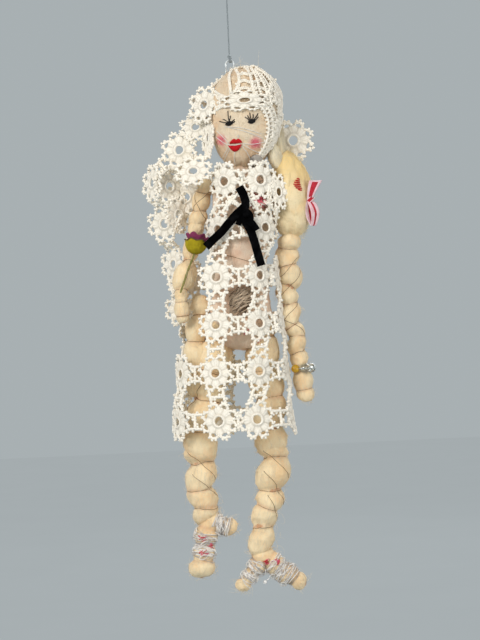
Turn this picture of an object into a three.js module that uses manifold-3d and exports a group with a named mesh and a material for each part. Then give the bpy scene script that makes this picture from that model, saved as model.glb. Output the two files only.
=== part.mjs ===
// Doily doll: a figure of wool roving bound with thread over a wire armature, dressed and veiled in
// crocheted daisy lace, hanging by a cord from a wire hook in its crown.
// Millimetres, +Z up, the doll faces -Y, and +X is the doll's left. The origin is the top of the
// cord's tied loop, where a nail or hook holds it.
import * as THREE from 'three';
import { mergeVertices } from 'three/addons/utils/BufferGeometryUtils.js';
import Module from 'manifold-3d';

const wasm = await Module();
wasm.setup();

// Fits
const GAP = 0.35; // between pieces that touch
const BORE_GAP = 0.3; // round each armature wire

// Hanging cord, its tied ends and the wire hook
const CORD_D = 1.2;
const CORD_LENGTH = 48; // between the two knots
const LOOP_HEIGHT = 13; // inside the tied loop
const LOOP_WIDTH = 7;
const KNOT_R = 1.7;
const HOOK_WIRE_D = 1.4;
const HOOK_WIDTH = 7.8; // outside
const HOOK_LENGTH = 36; // from the bend to the tips of the legs, inside the head

// Head, measured from the hook's top
const CROWN_DROP = 7.5;
const CROWN_X = 12.5;
const CHIN_X = 6.5;
const HEAD_HEIGHT = 81;
const HEAD_WIDTH = 57;
const HEAD_DEPTH = 54;
const WIDEST_SHARE = 0.6; // how far up the head is widest
const JAW_POWER = 1.6; // lower is a more pointed chin
const FACE_PAD = 0.6; // thickness of the stitched eyes and lips
const EYE_HEIGHT = 35.5; // above the chin
const EYE_SPREAD = 17;
const EYE_X = 6.2; // middle of the two eyes
const EYE_SIZE = 7;
const EYE_STEP = 1; // the left eye is a little higher
const LIPS_HEIGHT = 19;
const LIPS_X = 2;
const LIPS_WIDTH = 11;
const LIPS_TALL = 8;
const LOCK_R = 4.6; // lock of hair beside the face
const LOCK_LENGTH = 20;

// Neck and torso
const NECK_R = 9;
const NECK_LENGTH = 9; // shown between the head and the torso, and hidden by the chin
const NECK_X = 6;
const BODY_LEAN = 0.06; // sideways run for each millimetre down
const TORSO_LENGTH = 142;
const SHOULDER_WIDTH = 46;
const WAIST_WIDTH = 40;
const HIP_WIDTH = 50;
const TORSO_DEPTH = 36;

// Armature wire
const WIRE_D = 1.6;

// Rings of the round end of a roll of wool, as shares of its radius
const CAP_STEPS = [0.9, 0.5];

// Left arm, with its puffed sleeve
const ARM_Y = 4; // the arms hang a little behind the middle
const SHOULDER_DROP = 2; // of the shoulder pivot, under the top of the torso
const SHOULDER_R = 9;
const LEFT_UPPER_LENGTH = 53;
const LEFT_UPPER_RUN = 3.6; // sideways, outwards
const PUFF_R = 14.6;
const PUFF_OUT = 6; // how far the sleeve stands out between its ends
const LEFT_ELBOW_R = 6;
const LEFT_FORE_LENGTH = 104;
const LEFT_FORE_RUN = 4;
const LEFT_FORE_R = 9.9;
const LEFT_WRIST_R = 6.6;
const LEFT_FORE_BULGES = 7;
const LEFT_HAND_LENGTH = 24;
const LEFT_HAND_R = 8;
const LEFT_HAND_RUN = 3.5;

// Right arm, under the veil
const RIGHT_UPPER_LENGTH = 32;
const RIGHT_UPPER_RUN = 8;
const RIGHT_UPPER_R = 7.4;
const RIGHT_ELBOW_R = 5;
const RIGHT_FORE_LENGTH = 58;
const RIGHT_FORE_RUN = 15;
const RIGHT_FORE_REACH = 17; // forwards, clear of the open side of the skirt
const RIGHT_FORE_R = 6.8;
const RIGHT_FORE_BULGES = 2;
const RIGHT_HAND_LENGTH = 17;
const RIGHT_HAND_R = 5.8;
const RIGHT_HAND_RUN = 1;

// Legs
const HIP_SPREAD = 30; // between the two hip pivots
const HIP_RISE = 19; // of the hip pivots above the torso's lower end
const HIP_R = 13;
const HIP_SWING = 5; // degrees, each way
const THIGH_LENGTH = 108;
const THIGH_R = 14;
const THIGH_BULGES = 3;
const RIGHT_THIGH_RUN = -21;
const LEFT_THIGH_RUN = 6;
const KNEE_R = 6.5;
const LIMB_BEND = 40; // degrees, at the knees and elbows
const SHIN_R = 12.8;
const RIGHT_SHIN_LENGTH = 46;
const RIGHT_SHIN_RUN = 4;
const RIGHT_ANKLE_R = 9;
const RIGHT_SHIN_BULGES = 3;
const LEFT_SHIN_LENGTH = 70;
const LEFT_SHIN_RUN = -11;
const LEFT_ANKLE_R = 8.2;
const LEFT_SHIN_BULGES = 5;
const PINCH = 0.2; // how far the binding thread draws the wool in
const FOOT_R = 7;
const PIN_D = 0.9;
const PIN_HEAD_D = 3.4;
const WRAP = 1.4; // thickness of the thread wound round each foot

// Crocheted lace
const MOTIF_R = 14.5; // to the tips of its scallops
const MOTIF_NOTCH_R = 12.4;
const MOTIF_EYE_R = 3.4;
const MOTIF_LOBES = 8;
const LACE = 1.5; // thickness
const BAR_WIDTH = 3;
const BAR_CLEAR = 14; // degrees to each side of a bar in which the rim has no scallop
const EYE_SIDES = 4;
const ROW_PITCH = 37.7;
const DRESS_DROP = 10; // of the top row's middle, under the chin
const SKIRT_COLUMNS = 7;
const SKIRT_ROWS = 4;
const OPEN_ROWS = 2; // of the skirt, open at the doll's right side for its hand
const BODICE_ROWS = 2;
const BODICE_ANGLE = 30; // of the top row's columns, in degrees from the front
const BODICE_SPREAD = 11; // more in the next row
const BODICE_EASE = 5.5; // from the torso to the lace
const SKIRT_EASE = 12;
const SKIRT_SHIFT = 9; // the skirt hangs to the doll's right of its body
const SKIRT_ROUND = 0.8; // its depth for its width
const SKIRT_FLARE = 3.2; // wider with each row
const VEIL_EASE = 1.5; // from the head to the middle of the lace
const SKIRT_START = -0.05; // of the skirt's first column from the front, as a share of the way round

// Ribbon, brooch, tuft, bow, flower and beads
const RIBBON_WIDTH = 6.6;
const RIBBON = 0.9; // thickness
const RIBBON_KNOT = 3; // from front to back
const KNOT_X = 6.6;
const KNOT_RISE = 9; // above the middle of the bodice's second row
const BROOCH_D = 11;
const BROOCH_X = 16;
const BROOCH_RISE = 5; // above the chin
const TUFT_WIDTH = 12;
const TUFT_HEIGHT = 22;
const TUFT_THICK = 4;
const BOW_WIDTH = 8;
const BOW_KNOT = 4.6;
const BOW_TAIL = 20;
const BOW_LOOP = 20;
const BOW_OPEN = 3.4;
const BEAD_D = 6.4;
const AMBER_D = 5.6;
const BRACELET_D = 0.9;
const STEM_D = 1.5;
const CUP_D = 14;
const CUP_HEIGHT = 9;
const FLOWER_SHARE = 0.3; // how far down the forearm
const FLOWER_RUN = 3;
const FLOWER_SEAT = 2; // how far the forearm presses into the cup
const STEM_RISE = 5; // of the stem's end above the wrist

const vec = (x, y, z) => new THREE.Vector3(x, y, z);
const radians = THREE.MathUtils.degToRad;
const mix = THREE.MathUtils.lerp;

// Materials
const finish = (color, roughness, metalness = 0) =>
  new THREE.MeshStandardMaterial({ color, roughness, metalness });
const wool = () => finish(0xe4cba2, 0.95);
const goldenWool = () => finish(0xe2c488, 0.95);
const lace = () => finish(0xebe6de, 0.9);
const wire = () => finish(0xa9a9a6, 0.35, 1);
const gauze = () => finish(0xe6e0d4, 0.9);
const velvet = () => finish(0x0c0c0e, 0.95);
const crimson = () => finish(0xbe1932, 0.6);
const clearGlass = () => finish(0xe8ecec, 0.08);
const cotton = () => finish(0x82898e, 0.7);

// Turns faces outwards when a shape was skinned inside out
function faceOut(geometry) {
  const p = geometry.attributes.position;
  const index = geometry.index;
  const [a, b, c] = [vec(), vec(), vec()];
  let volume = 0;
  for (let i = 0; i < index.count; i += 3) {
    a.fromBufferAttribute(p, index.getX(i));
    b.fromBufferAttribute(p, index.getX(i + 1));
    c.fromBufferAttribute(p, index.getX(i + 2));
    volume += a.dot(b.cross(c));
  }
  if (volume < 0) {
    for (let i = 0; i < index.count; i += 3) {
      const second = index.getX(i + 1);
      index.setX(i + 1, index.getX(i + 2));
      index.setX(i + 2, second);
    }
  }
  return geometry;
}

// Skins rings of equal count: capped at both ends, or joined last to first as a sleeve
function skin(rings, looped = false) {
  const sides = rings[0].length;
  const points = rings.flat();
  const faces = [];
  const rows = looped ? rings.length : rings.length - 1;
  for (let i = 0; i < rows; i += 1) {
    const j = (i + 1) % rings.length;
    for (let k = 0; k < sides; k += 1) {
      const l = (k + 1) % sides;
      faces.push(i * sides + k, i * sides + l, j * sides + l);
      faces.push(i * sides + k, j * sides + l, j * sides + k);
    }
  }
  if (!looped) {
    for (const [ring, from] of [[rings[0], 0], [rings.at(-1), (rings.length - 1) * sides]]) {
      const middle = ring.reduce((sum, q) => sum.add(q), vec()).divideScalar(sides);
      points.push(middle);
      for (let k = 0; k < sides; k += 1) {
        const l = (k + 1) % sides;
        const edge = from === 0 ? [from + l, from + k] : [from + k, from + l];
        faces.push(points.length - 1, ...edge);
      }
    }
  }
  const geometry = new THREE.BufferGeometry().setFromPoints(points);
  geometry.setIndex(faces);
  return faceOut(geometry);
}

// A closed geometry as a solid that can be joined and cut
function solid(geometry) {
  const bare = geometry.clone();
  bare.deleteAttribute('normal');
  bare.deleteAttribute('uv');
  const merged = mergeVertices(bare, 1e-4);
  return new wasm.Manifold(new wasm.Mesh({
    numProp: 3,
    vertProperties: new Float32Array(merged.attributes.position.array),
    triVerts: new Uint32Array(merged.index.array),
  }));
}

// A solid back as a geometry
function geometryOf(body) {
  const mesh = body.getMesh();
  const geometry = new THREE.BufferGeometry();
  geometry.setAttribute('position', new THREE.BufferAttribute(new Float32Array(mesh.vertProperties), 3));
  geometry.setIndex(Array.from(mesh.triVerts));
  return geometry;
}

// A ring of points square to a path that runs in the X-Z plane
function ringAt(centre, along, radiusX, radiusY, sides) {
  const across = vec(0, 1, 0).cross(along).normalize();
  const ring = [];
  for (let k = 0; k < sides; k += 1) {
    const a = (2 * Math.PI * k) / sides;
    ring.push(centre.clone().addScaledVector(across, radiusX * Math.cos(a))
      .add(vec(0, radiusY * Math.sin(a), 0)));
  }
  return ring;
}

// A roll of wool along a path: stations are {at, r, ry}, and each end is a round cap
function roll(stations, sides, grow = 0) {
  const rings = [];
  const along = stations.map((s, i) => {
    const before = stations[Math.max(i - 1, 0)].at;
    const after = stations[Math.min(i + 1, stations.length - 1)].at;
    return after.clone().sub(before).normalize();
  });
  const add = (s, direction, share, push) => {
    const r = s.r + grow;
    const ry = (s.ry ?? s.r) + grow;
    rings.push(ringAt(s.at.clone().addScaledVector(direction, push * r), direction,
      r * share, ry * share, sides));
  };
  const [first, last] = [stations[0], stations.at(-1)];
  CAP_STEPS.forEach((h) => add(first, along[0], Math.sqrt(1 - h * h), -h));
  stations.forEach((s, i) => add(s, along[i], 1, 0));
  [...CAP_STEPS].reverse().forEach((h) => add(last, along.at(-1), Math.sqrt(1 - h * h), h));
  return skin(rings);
}

// Wool bound with thread into bulges: the stations of a roll from one point to another
function bound({ from, to, bulges, start, end, startTie, endTie, pinch = PINCH }) {
  const shares = [0.24, 0.76];
  const stations = [{ at: from.clone(), r: startTie }];
  for (let n = 0; n < bulges; n += 1) {
    shares.forEach((u) => {
      const t = (n + u) / bulges;
      const full = mix(start, end, t);
      stations.push({ at: from.clone().lerp(to, t), r: full });
    });
    if (n < bulges - 1) {
      const t = (n + 1) / bulges;
      stations.push({ at: from.clone().lerp(to, t), r: mix(start, end, t) * (1 - pinch) });
    }
  }
  stations.push({ at: to.clone(), r: endTie });
  return stations;
}

// How far the round end of a limb stands off its joint so that two such ends can bend
const standOff = (r) => r / Math.cos(radians(LIMB_BEND / 2)) + 0.05;

// A tube along a path
function tube(points, diameter, sides = 8, steps = 2) {
  const curve = points.length > 2 ? new THREE.CatmullRomCurve3(points) : new THREE.LineCurve3(...points);
  const section = new THREE.Shape();
  for (let k = 0; k < sides; k += 1) {
    const a = (2 * Math.PI * k) / sides;
    section[k ? 'lineTo' : 'moveTo']((diameter / 2) * Math.cos(a), (diameter / 2) * Math.sin(a));
  }
  section.closePath();
  return new THREE.ExtrudeGeometry(section, { steps, extrudePath: curve, curveSegments: 1 });
}

// A flat band along points, square to a facing direction at each
function band(points, width, thickness, facings) {
  const rings = points.map((p, i) => {
    const along = points[Math.min(i + 1, points.length - 1)].clone()
      .sub(points[Math.max(i - 1, 0)]).normalize();
    const face = facings[Math.min(i, facings.length - 1)];
    const across = along.clone().cross(face).normalize();
    const normal = across.clone().cross(along).normalize();
    return [[1, 1], [-1, 1], [-1, -1], [1, -1]].map(([s, t]) => p.clone()
      .addScaledVector(across, (s * width) / 2).addScaledVector(normal, (t * thickness) / 2));
  });
  return skin(rings);
}

// A ball, for beads, sockets and knots
const ball = (at, r, wide = 10, high = 6) =>
  new THREE.SphereGeometry(r, wide, high).translate(...at.toArray());

const object = new THREE.Group();
const doll = new THREE.Group();

// Adds one named piece
function piece(name, shape, material, group = doll) {
  const geometry = shape.getMesh ? geometryOf(shape) : shape;
  const mesh = new THREE.Mesh(geometry, material);
  mesh.name = name;
  group.add(mesh);
  return mesh;
}

// Hanging cord: a tied loop, the taut cord and the tie round the hook
const cordTop = -(LOOP_HEIGHT + 2 * KNOT_R + GAP);
const cordEnd = cordTop - CORD_LENGTH;
const tieR = HOOK_WIRE_D / 2 + GAP + CORD_D / 2;
const tieKnot = vec(0, 0, cordEnd - GAP - KNOT_R);
const tieRing = tieKnot.clone().add(vec(0, 0, -KNOT_R - tieR + CORD_D / 2));
const hookTop = tieRing.z + HOOK_WIRE_D / 2;
doll.position.set(0, 0, hookTop);

function loopOfCord() {
  const points = [];
  const steps = 14;
  for (let k = 0; k <= steps; k += 1) {
    const a = -Math.PI / 2 + (2 * Math.PI * (k + 0.35)) / (steps + 0.7);
    const taper = 1 - 0.45 * Math.max(0, -Math.sin(a));
    points.push(vec(0, ((LOOP_WIDTH + CORD_D) / 2) * Math.cos(a) * taper,
      -LOOP_HEIGHT / 2 + ((LOOP_HEIGHT + CORD_D) / 2) * Math.sin(a)));
  }
  const knot = new THREE.CapsuleGeometry(KNOT_R, KNOT_R * 0.3, 4, 8)
    .rotateX(Math.PI / 2).translate(0, 0, -LOOP_HEIGHT - KNOT_R);
  return solid(tube(points, CORD_D, 8, 20)).add(solid(knot));
}

piece('cord_loop', loopOfCord(), cotton(), object);
const tautCord = [vec(0, 0, cordTop - 0.3 * KNOT_R), vec(0, 0, cordEnd)];
piece('hanging_cord', tube(tautCord, CORD_D, 8, 16), cotton(), object);
const tie = new THREE.TorusGeometry(tieR, CORD_D / 2, 8, 16).rotateY(Math.PI / 2)
  .translate(...tieRing.toArray());
piece('cord_tie', solid(tie).add(solid(ball(tieKnot, KNOT_R, 10, 8))), cotton(), object);

// Wire hook: a hairpin whose legs run down into the crown
const bendR = (HOOK_WIDTH - HOOK_WIRE_D) / 2;
const bendZ = -HOOK_WIRE_D / 2 - bendR;
function hairpin(diameter) {
  const points = [vec(-bendR, 0, -HOOK_LENGTH), vec(-bendR, 0, (bendZ - HOOK_LENGTH) / 2)];
  for (let k = 0; k <= 8; k += 1) {
    const a = Math.PI - (Math.PI * k) / 8;
    points.push(vec(bendR * Math.cos(a), 0, bendZ + bendR * Math.sin(a)));
  }
  points.push(vec(bendR, 0, (bendZ - HOOK_LENGTH) / 2), vec(bendR, 0, -HOOK_LENGTH));
  return tube(points, diameter, 8, 20);
}
const hook = solid(hairpin(HOOK_WIRE_D));
const hookBore = [-bendR, bendR].map((x) => solid(tube(
  [vec(x, 0, bendZ), vec(x, 0, -HOOK_LENGTH - BORE_GAP)], HOOK_WIRE_D + 2 * BORE_GAP, 6, 1)));

// Head: an egg, widest above the eyes and drawn in to the chin
const crownZ = -CROWN_DROP;
const chinZ = crownZ - HEAD_HEIGHT;
function egg(grow) {
  const rows = 11;
  const rings = [];
  for (let i = 0; i < rows; i += 1) {
    const t = 0.5 - 0.5 * Math.cos((Math.PI * (i + 0.35)) / (rows - 0.3));
    const up = t > WIDEST_SHARE;
    const s = up ? (t - WIDEST_SHARE) / (1 - WIDEST_SHARE) : (WIDEST_SHARE - t) / WIDEST_SHARE;
    const power = up ? 2 : JAW_POWER;
    const share = (1 - s ** power) ** (1 / power);
    const height = HEAD_HEIGHT + 2 * grow;
    rings.push(ringAt(vec(mix(CHIN_X, CROWN_X, t), 0, chinZ - grow + t * height), vec(0, 0, 1),
      (HEAD_WIDTH / 2) * share + grow, (HEAD_DEPTH / 2) * share + grow, 12));
  }
  return solid(skin(rings));
}

// Neck and torso
const torsoTop = chinZ - 2;
const bodyX = (z) => NECK_X + (z - torsoTop) * BODY_LEAN;
const torsoStations = [
  [0.05, 0.75 * SHOULDER_WIDTH, 0.72], [0.13, SHOULDER_WIDTH, 0.95], [0.3, 0.97 * SHOULDER_WIDTH, 1],
  [0.55, WAIST_WIDTH, 0.94], [0.78, HIP_WIDTH, 1.04], [0.9, 0.94 * HIP_WIDTH, 1],
];
function trunk(grow) {
  const stations = torsoStations.map(([share, width, depth]) => {
    const z = torsoTop - share * TORSO_LENGTH;
    return { at: vec(bodyX(z), 0, z), r: width / 2, ry: (depth * TORSO_DEPTH) / 2 };
  });
  const rings = stations.map((s) => ringAt(s.at, vec(0, 0, 1), s.r + grow, s.ry + grow, 12));
  const end = (s, z, share) => ringAt(vec(s.at.x, 0, z), vec(0, 0, 1), (s.r + grow) * share,
    (s.ry + grow) * share, 12);
  rings.unshift(end(stations[0], torsoTop + grow, 0.5));
  rings.push(end(stations.at(-1), torsoTop - 0.97 * TORSO_LENGTH - grow, 0.72));
  rings.push(end(stations.at(-1), torsoTop - TORSO_LENGTH - grow, 0.3));
  return solid(skin(rings));
}
function throat(grow) {
  const [top, bottom] = [chinZ + NECK_LENGTH, torsoTop - NECK_LENGTH];
  const stations = [[bottom, 1.1], [(top + bottom) / 2, 1], [top, 0.9]];
  return solid(roll(stations.map(([z, share]) => ({ at: vec(NECK_X, 0, z), r: NECK_R * share })), 8, grow));
}

// The armature wire of the trunk: from inside the head, through the neck, to the hips
const spineEnd = torsoTop - 0.8 * TORSO_LENGTH;
const spineRoute = [vec(NECK_X + 2, 0, chinZ + 0.45 * HEAD_HEIGHT), vec(NECK_X, 0, chinZ + NECK_LENGTH),
  vec(NECK_X, 0, torsoTop - NECK_LENGTH), vec(bodyX(spineEnd), 0, spineEnd)];
const spineBore = solid(tube(spineRoute, WIRE_D + 2 * BORE_GAP, 6, 6));

// Joint pivots
const shoulderZ = torsoTop - SHOULDER_DROP;
const shoulderMiddle = bodyX(shoulderZ);
const leftShoulder = vec(shoulderMiddle + SHOULDER_WIDTH / 2 + 0.95 * SHOULDER_R, ARM_Y, shoulderZ);
const leftElbow = leftShoulder.clone().add(vec(LEFT_UPPER_RUN, 0, -LEFT_UPPER_LENGTH));
const leftWrist = leftElbow.clone().add(vec(LEFT_FORE_RUN, 0, -LEFT_FORE_LENGTH));
const rightShoulder = vec(shoulderMiddle - SHOULDER_WIDTH / 2 - RIGHT_UPPER_R, ARM_Y,
  shoulderZ - RIGHT_UPPER_R);
const rightElbow = rightShoulder.clone().add(vec(-RIGHT_UPPER_RUN, 0, -RIGHT_UPPER_LENGTH));
const rightWrist = rightElbow.clone().add(vec(-RIGHT_FORE_RUN, -RIGHT_FORE_REACH, -RIGHT_FORE_LENGTH));
const hipZ = torsoTop - TORSO_LENGTH + HIP_RISE;
const leftHip = vec(bodyX(hipZ) + HIP_SPREAD / 2, 0, hipZ);
const rightHip = vec(bodyX(hipZ) - HIP_SPREAD / 2, 0, hipZ);
const leftKnee = leftHip.clone().add(vec(LEFT_THIGH_RUN, 0, -THIGH_LENGTH));
const rightKnee = rightHip.clone().add(vec(RIGHT_THIGH_RUN, 0, -THIGH_LENGTH));

// A point a given way along the line from one point to another
const toward = (from, to, distance) =>
  from.clone().addScaledVector(to.clone().sub(from).normalize(), distance);

// A limb's wire that runs on to the joint, where a ball on its end carries the next piece
function jointWire(from, pivot, r) {
  const ballR = Math.hypot(standOff(r) - CAP_STEPS[0] * r, WIRE_D / 2 + BORE_GAP) - GAP;
  return solid(tube([from, pivot], WIRE_D, 6, 1)).add(solid(ball(pivot, ballR, 8, 6)));
}

// A limb's wire, a little short of both ends
const limbWire = (from, to) => [toward(from, to, 3), toward(to, from, 3)];

const head = egg(0);
const torso = trunk(0);
const neck = throat(0).subtract(egg(GAP)).subtract(trunk(GAP)).subtract(spineBore);

// The yoke: a branch of the trunk's wire out to the left shoulder, which turns against its end
const yokeZ = torsoTop - 0.1 * TORSO_LENGTH;
const yokeEnd = leftShoulder.clone().add(vec(-SHOULDER_R - GAP - WIRE_D / 4, 0, 0));
const yokeTurn = vec(bodyX(yokeZ) + SHOULDER_WIDTH / 2, ARM_Y / 2, yokeZ);
const yoke = (diameter) => solid(tube([vec(bodyX(yokeZ), 0, yokeZ), yokeTurn], diameter, 6, 1))
  .add(solid(tube([toward(yokeTurn, vec(NECK_X, 0, yokeZ), WIRE_D / 2), yokeEnd], diameter, 6, 1)));

// Thighs: a round top that turns in the torso, and three bulges down to the knee
function thigh(hip, knee, grow = 0, swing = 0) {
  const end = toward(knee, hip, standOff(KNEE_R));
  const stations = bound({ from: hip, to: end, bulges: THIGH_BULGES, start: THIGH_R, end: THIGH_R,
    startTie: HIP_R, endTie: KNEE_R });
  const room = Math.tan(radians(swing)) * HIP_RISE;
  return solid(roll(stations.map((s) => ({ ...s, r: s.r + 0.35 * room, ry: s.r + 1.45 * room })), 8, grow));
}

piece('wire_hook', hook, wire());
const hipRoom = [[leftHip, leftKnee], [rightHip, rightKnee]].map(([hip, knee]) =>
  thigh(hip, knee, GAP, HIP_SWING));
piece('head', head.subtract(hookBore[0]).subtract(hookBore[1]).subtract(throat(GAP))
  .subtract(spineBore), wool());
piece('neck', neck, wool());
piece('torso', torso.subtract(throat(GAP)).subtract(spineBore).subtract(yoke(WIRE_D + 2 * BORE_GAP))
  .subtract(hipRoom[0]).subtract(hipRoom[1]), wool());
piece('spine_wire', solid(tube(spineRoute, WIRE_D, 6, 6)).add(yoke(WIRE_D)), wire());

// Face: stitched eyes and lips, as pads that follow the head's curve
const faceShell = egg(GAP + FACE_PAD).subtract(egg(GAP));
const ahead = (outline, depth) => solid(
  new THREE.ExtrudeGeometry(outline, { depth, bevelEnabled: false, curveSegments: 4 }).rotateX(Math.PI / 2));
function lashedEye(x, z, side) {
  const outline = new THREE.Shape();
  const half = EYE_SIZE / 2;
  const lashes = [[-1, 0], [-0.62, 0.45], [-1.2, 0.95], [-0.35, 0.7], [-0.25, 1.6], [0.2, 0.75],
    [0.85, 1.35], [0.6, 0.5], [1.1, 0.2], [0.3, -0.5], [-0.5, -0.4]];
  lashes.forEach(([u, w], k) => outline[k ? 'lineTo' : 'moveTo'](x + side * u * half, z + w * half));
  outline.closePath();
  return faceShell.intersect(ahead(outline, HEAD_DEPTH));
}
function lipPad() {
  const outline = new THREE.Shape();
  const at = (u, s) => [LIPS_X + (u * LIPS_WIDTH) / 2, chinZ + LIPS_HEIGHT + (s * LIPS_TALL) / 2];
  outline.moveTo(...at(-1, 0.35));
  outline.quadraticCurveTo(...at(-0.5, 1.1), ...at(0, 0.7));
  outline.quadraticCurveTo(...at(0.5, 1.15), ...at(1, 0.4));
  outline.quadraticCurveTo(...at(0.6, -1), ...at(-0.1, -1));
  outline.quadraticCurveTo(...at(-0.8, -0.8), ...at(-1, 0.35));
  return faceShell.intersect(ahead(outline, HEAD_DEPTH));
}
const eyeZ = chinZ + EYE_HEIGHT;
piece('right_eye', lashedEye(EYE_X - EYE_SPREAD / 2, eyeZ, 1), finish(0x141214, 0.8));
piece('left_eye', lashedEye(EYE_X + EYE_SPREAD / 2, eyeZ + EYE_STEP, -1), finish(0x141214, 0.8));
piece('lips', lipPad(), finish(0xc8141e, 0.75));

// Hair: a lock of golden wool beside the face, behind the left shoulder
const lockTop = onHead(0.38, 130, 0.5 * LOCK_R).at;
const lockEnd = lockTop.clone().add(vec(0.5 * LOCK_R, 0, -LOCK_LENGTH));
const lockRoll = roll([[0, 0.7], [0.5, 1], [1, 0.6]].map(([t, share]) =>
  ({ at: lockTop.clone().lerp(lockEnd, t), r: share * LOCK_R })), 8);
piece('hair_lock', solid(lockRoll).subtract(egg(GAP)), goldenWool());

// Left arm: a puffed upper arm that turns at the shoulder, a bound forearm and a hand
const elbowOff = standOff(LEFT_ELBOW_R);
const leftUpperEnd = toward(leftElbow, leftShoulder, elbowOff);
const puffAxis = (t) => leftShoulder.clone().lerp(leftUpperEnd, t)
  .add(vec(PUFF_OUT * Math.sin(Math.PI * t), 0, 0));
const puffShape = [[0, SHOULDER_R], [0.2, 0.84 * PUFF_R], [0.45, PUFF_R], [0.7, 0.96 * PUFF_R],
  [0.9, 0.74 * PUFF_R], [1, LEFT_ELBOW_R]];
const leftUpper = (grow) => solid(roll(puffShape.map(([t, r]) => ({ at: puffAxis(t), r })), 10, grow));
const wireBore = (route) => solid(tube(route, WIRE_D + 2 * BORE_GAP, 6, 1));
const leftWire = limbWire(leftShoulder, leftUpperEnd);
piece('left_upper_arm', leftUpper(0).subtract(wireBore([leftWire[0], leftElbow])), goldenWool());
piece('left_upper_arm_wire', jointWire(leftWire[0], leftElbow, LEFT_ELBOW_R), wire());

const leftForeStart = toward(leftElbow, leftWrist, elbowOff);
const leftForeStations = bound({ from: leftForeStart, to: leftWrist, bulges: LEFT_FORE_BULGES,
  start: LEFT_FORE_R, end: LEFT_WRIST_R, startTie: LEFT_ELBOW_R, endTie: 0.7 * LEFT_WRIST_R });
const leftFingers = leftWrist.clone().add(vec(LEFT_HAND_RUN, 0, -LEFT_HAND_LENGTH));
const leftForeWire = [toward(leftForeStart, leftWrist, 3),
  toward(leftWrist, leftFingers, 0.5 * LEFT_HAND_LENGTH)];
const leftForearm = (grow) => solid(roll(leftForeStations, 8, grow));
const leftForeBore = wireBore([leftElbow, leftWrist])
  .add(wireBore([toward(leftWrist, leftElbow, WIRE_D), leftForeWire[1]]));
piece('left_forearm', leftForearm(0).subtract(leftForeBore), wool());
piece('left_forearm_wire', solid(tube([leftForeWire[0], leftWrist], WIRE_D, 6, 1))
  .add(solid(tube([toward(leftWrist, leftElbow, 0.5 * WIRE_D), leftForeWire[1]], WIRE_D, 6, 1))), wire());
const handRoll = (wrist, fingers, r) => solid(roll([{ at: toward(wrist, fingers, 0.5 * r), r: 0.6 * r },
  { at: wrist.clone().lerp(fingers, 0.45), r: 0.92 * r }, { at: wrist.clone().lerp(fingers, 0.72), r },
  { at: toward(fingers, wrist, 0.7 * r), r: 0.7 * r }], 8));
piece('left_hand', handRoll(leftWrist, leftFingers, LEFT_HAND_R).subtract(leftForearm(GAP))
  .subtract(leftForeBore), wool());

// Bracelet: a loose thread round the wrist, through one amber and two clear beads
const braceletR = 0.72 * LEFT_WRIST_R + 2 * GAP + BEAD_D / 2;
const bracelet = (diameter) => solid(new THREE.TorusGeometry(braceletR, diameter / 2, 6, 20)
  .translate(...leftWrist.toArray()));
const threadHole = bracelet(BRACELET_D + 2 * BORE_GAP);
function bead(name, degrees, diameter, material) {
  const a = radians(degrees);
  const at = leftWrist.clone().add(vec(braceletR * Math.cos(a), braceletR * Math.sin(a), 0));
  piece(name, solid(ball(at, diameter / 2)).subtract(threadHole), material);
}
piece('bracelet_thread', bracelet(BRACELET_D), finish(0xd8d2c4, 0.7));
bead('bead_amber', -118, AMBER_D, finish(0xd7a51e, 0.15));
bead('bead_clear_front', -66, BEAD_D, clearGlass());
bead('bead_clear_side', -16, BEAD_D, clearGlass());

// Bow on the puffed sleeve: a knot, one pointed tail and one loop
const bowAngle = radians(-35);
const bowOut = (distance, rise) => puffAxis(0.45).add(vec((PUFF_R + distance) * Math.cos(bowAngle),
  (PUFF_R + distance) * Math.sin(bowAngle), rise));
const bowFace = vec(Math.cos(bowAngle), Math.sin(bowAngle), 0);
const bowKnotAt = bowOut(GAP + BOW_KNOT / 2, 0);
const bowKnot = (grow) => solid(new THREE.BoxGeometry(BOW_KNOT + 2 * grow, BOW_KNOT + 2 * grow,
  1.3 * BOW_KNOT + 2 * grow, 2, 2, 2).rotateZ(bowAngle).translate(...bowKnotAt.toArray()));
const bowClear = (shape) => solid(shape).subtract(leftUpper(GAP)).subtract(bowKnot(GAP));
piece('bow_knot', bowKnot(0), crimson());
const tailEnd = bowKnotAt.clone().add(vec(0.42 * BOW_TAIL, -0.1 * BOW_TAIL, 0.85 * BOW_TAIL));
piece('bow_tail', bowClear(band([0.18, 0.45, 0.75, 1].map((t) => bowKnotAt.clone().lerp(tailEnd, t)
  .addScaledVector(bowFace, 1.4 * Math.sin(Math.PI * t))), BOW_WIDTH, RIBBON, [bowFace])), crimson());
const loopPoints = [];
for (let k = 0; k <= 10; k += 1) {
  const a = (2 * Math.PI * k) / 10;
  loopPoints.push(bowKnotAt.clone().add(vec(0, 0, -BOW_LOOP * Math.sin(a / 2)))
    .addScaledVector(bowFace, 1.5 + BOW_OPEN * Math.sin(a) * Math.sin(a / 2)));
}
loopPoints[0].addScaledVector(bowFace, RIBBON);
loopPoints[10].addScaledVector(bowFace, -RIBBON);
piece('bow_loop', bowClear(band(loopPoints, BOW_WIDTH, RIBBON, loopPoints.map((p, k) => {
  const a = (2 * Math.PI * k) / 10;
  return bowFace.clone().multiplyScalar(Math.cos(a / 2)).add(vec(0, 0, -Math.sin(a / 2)));
}))), crimson());

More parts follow.
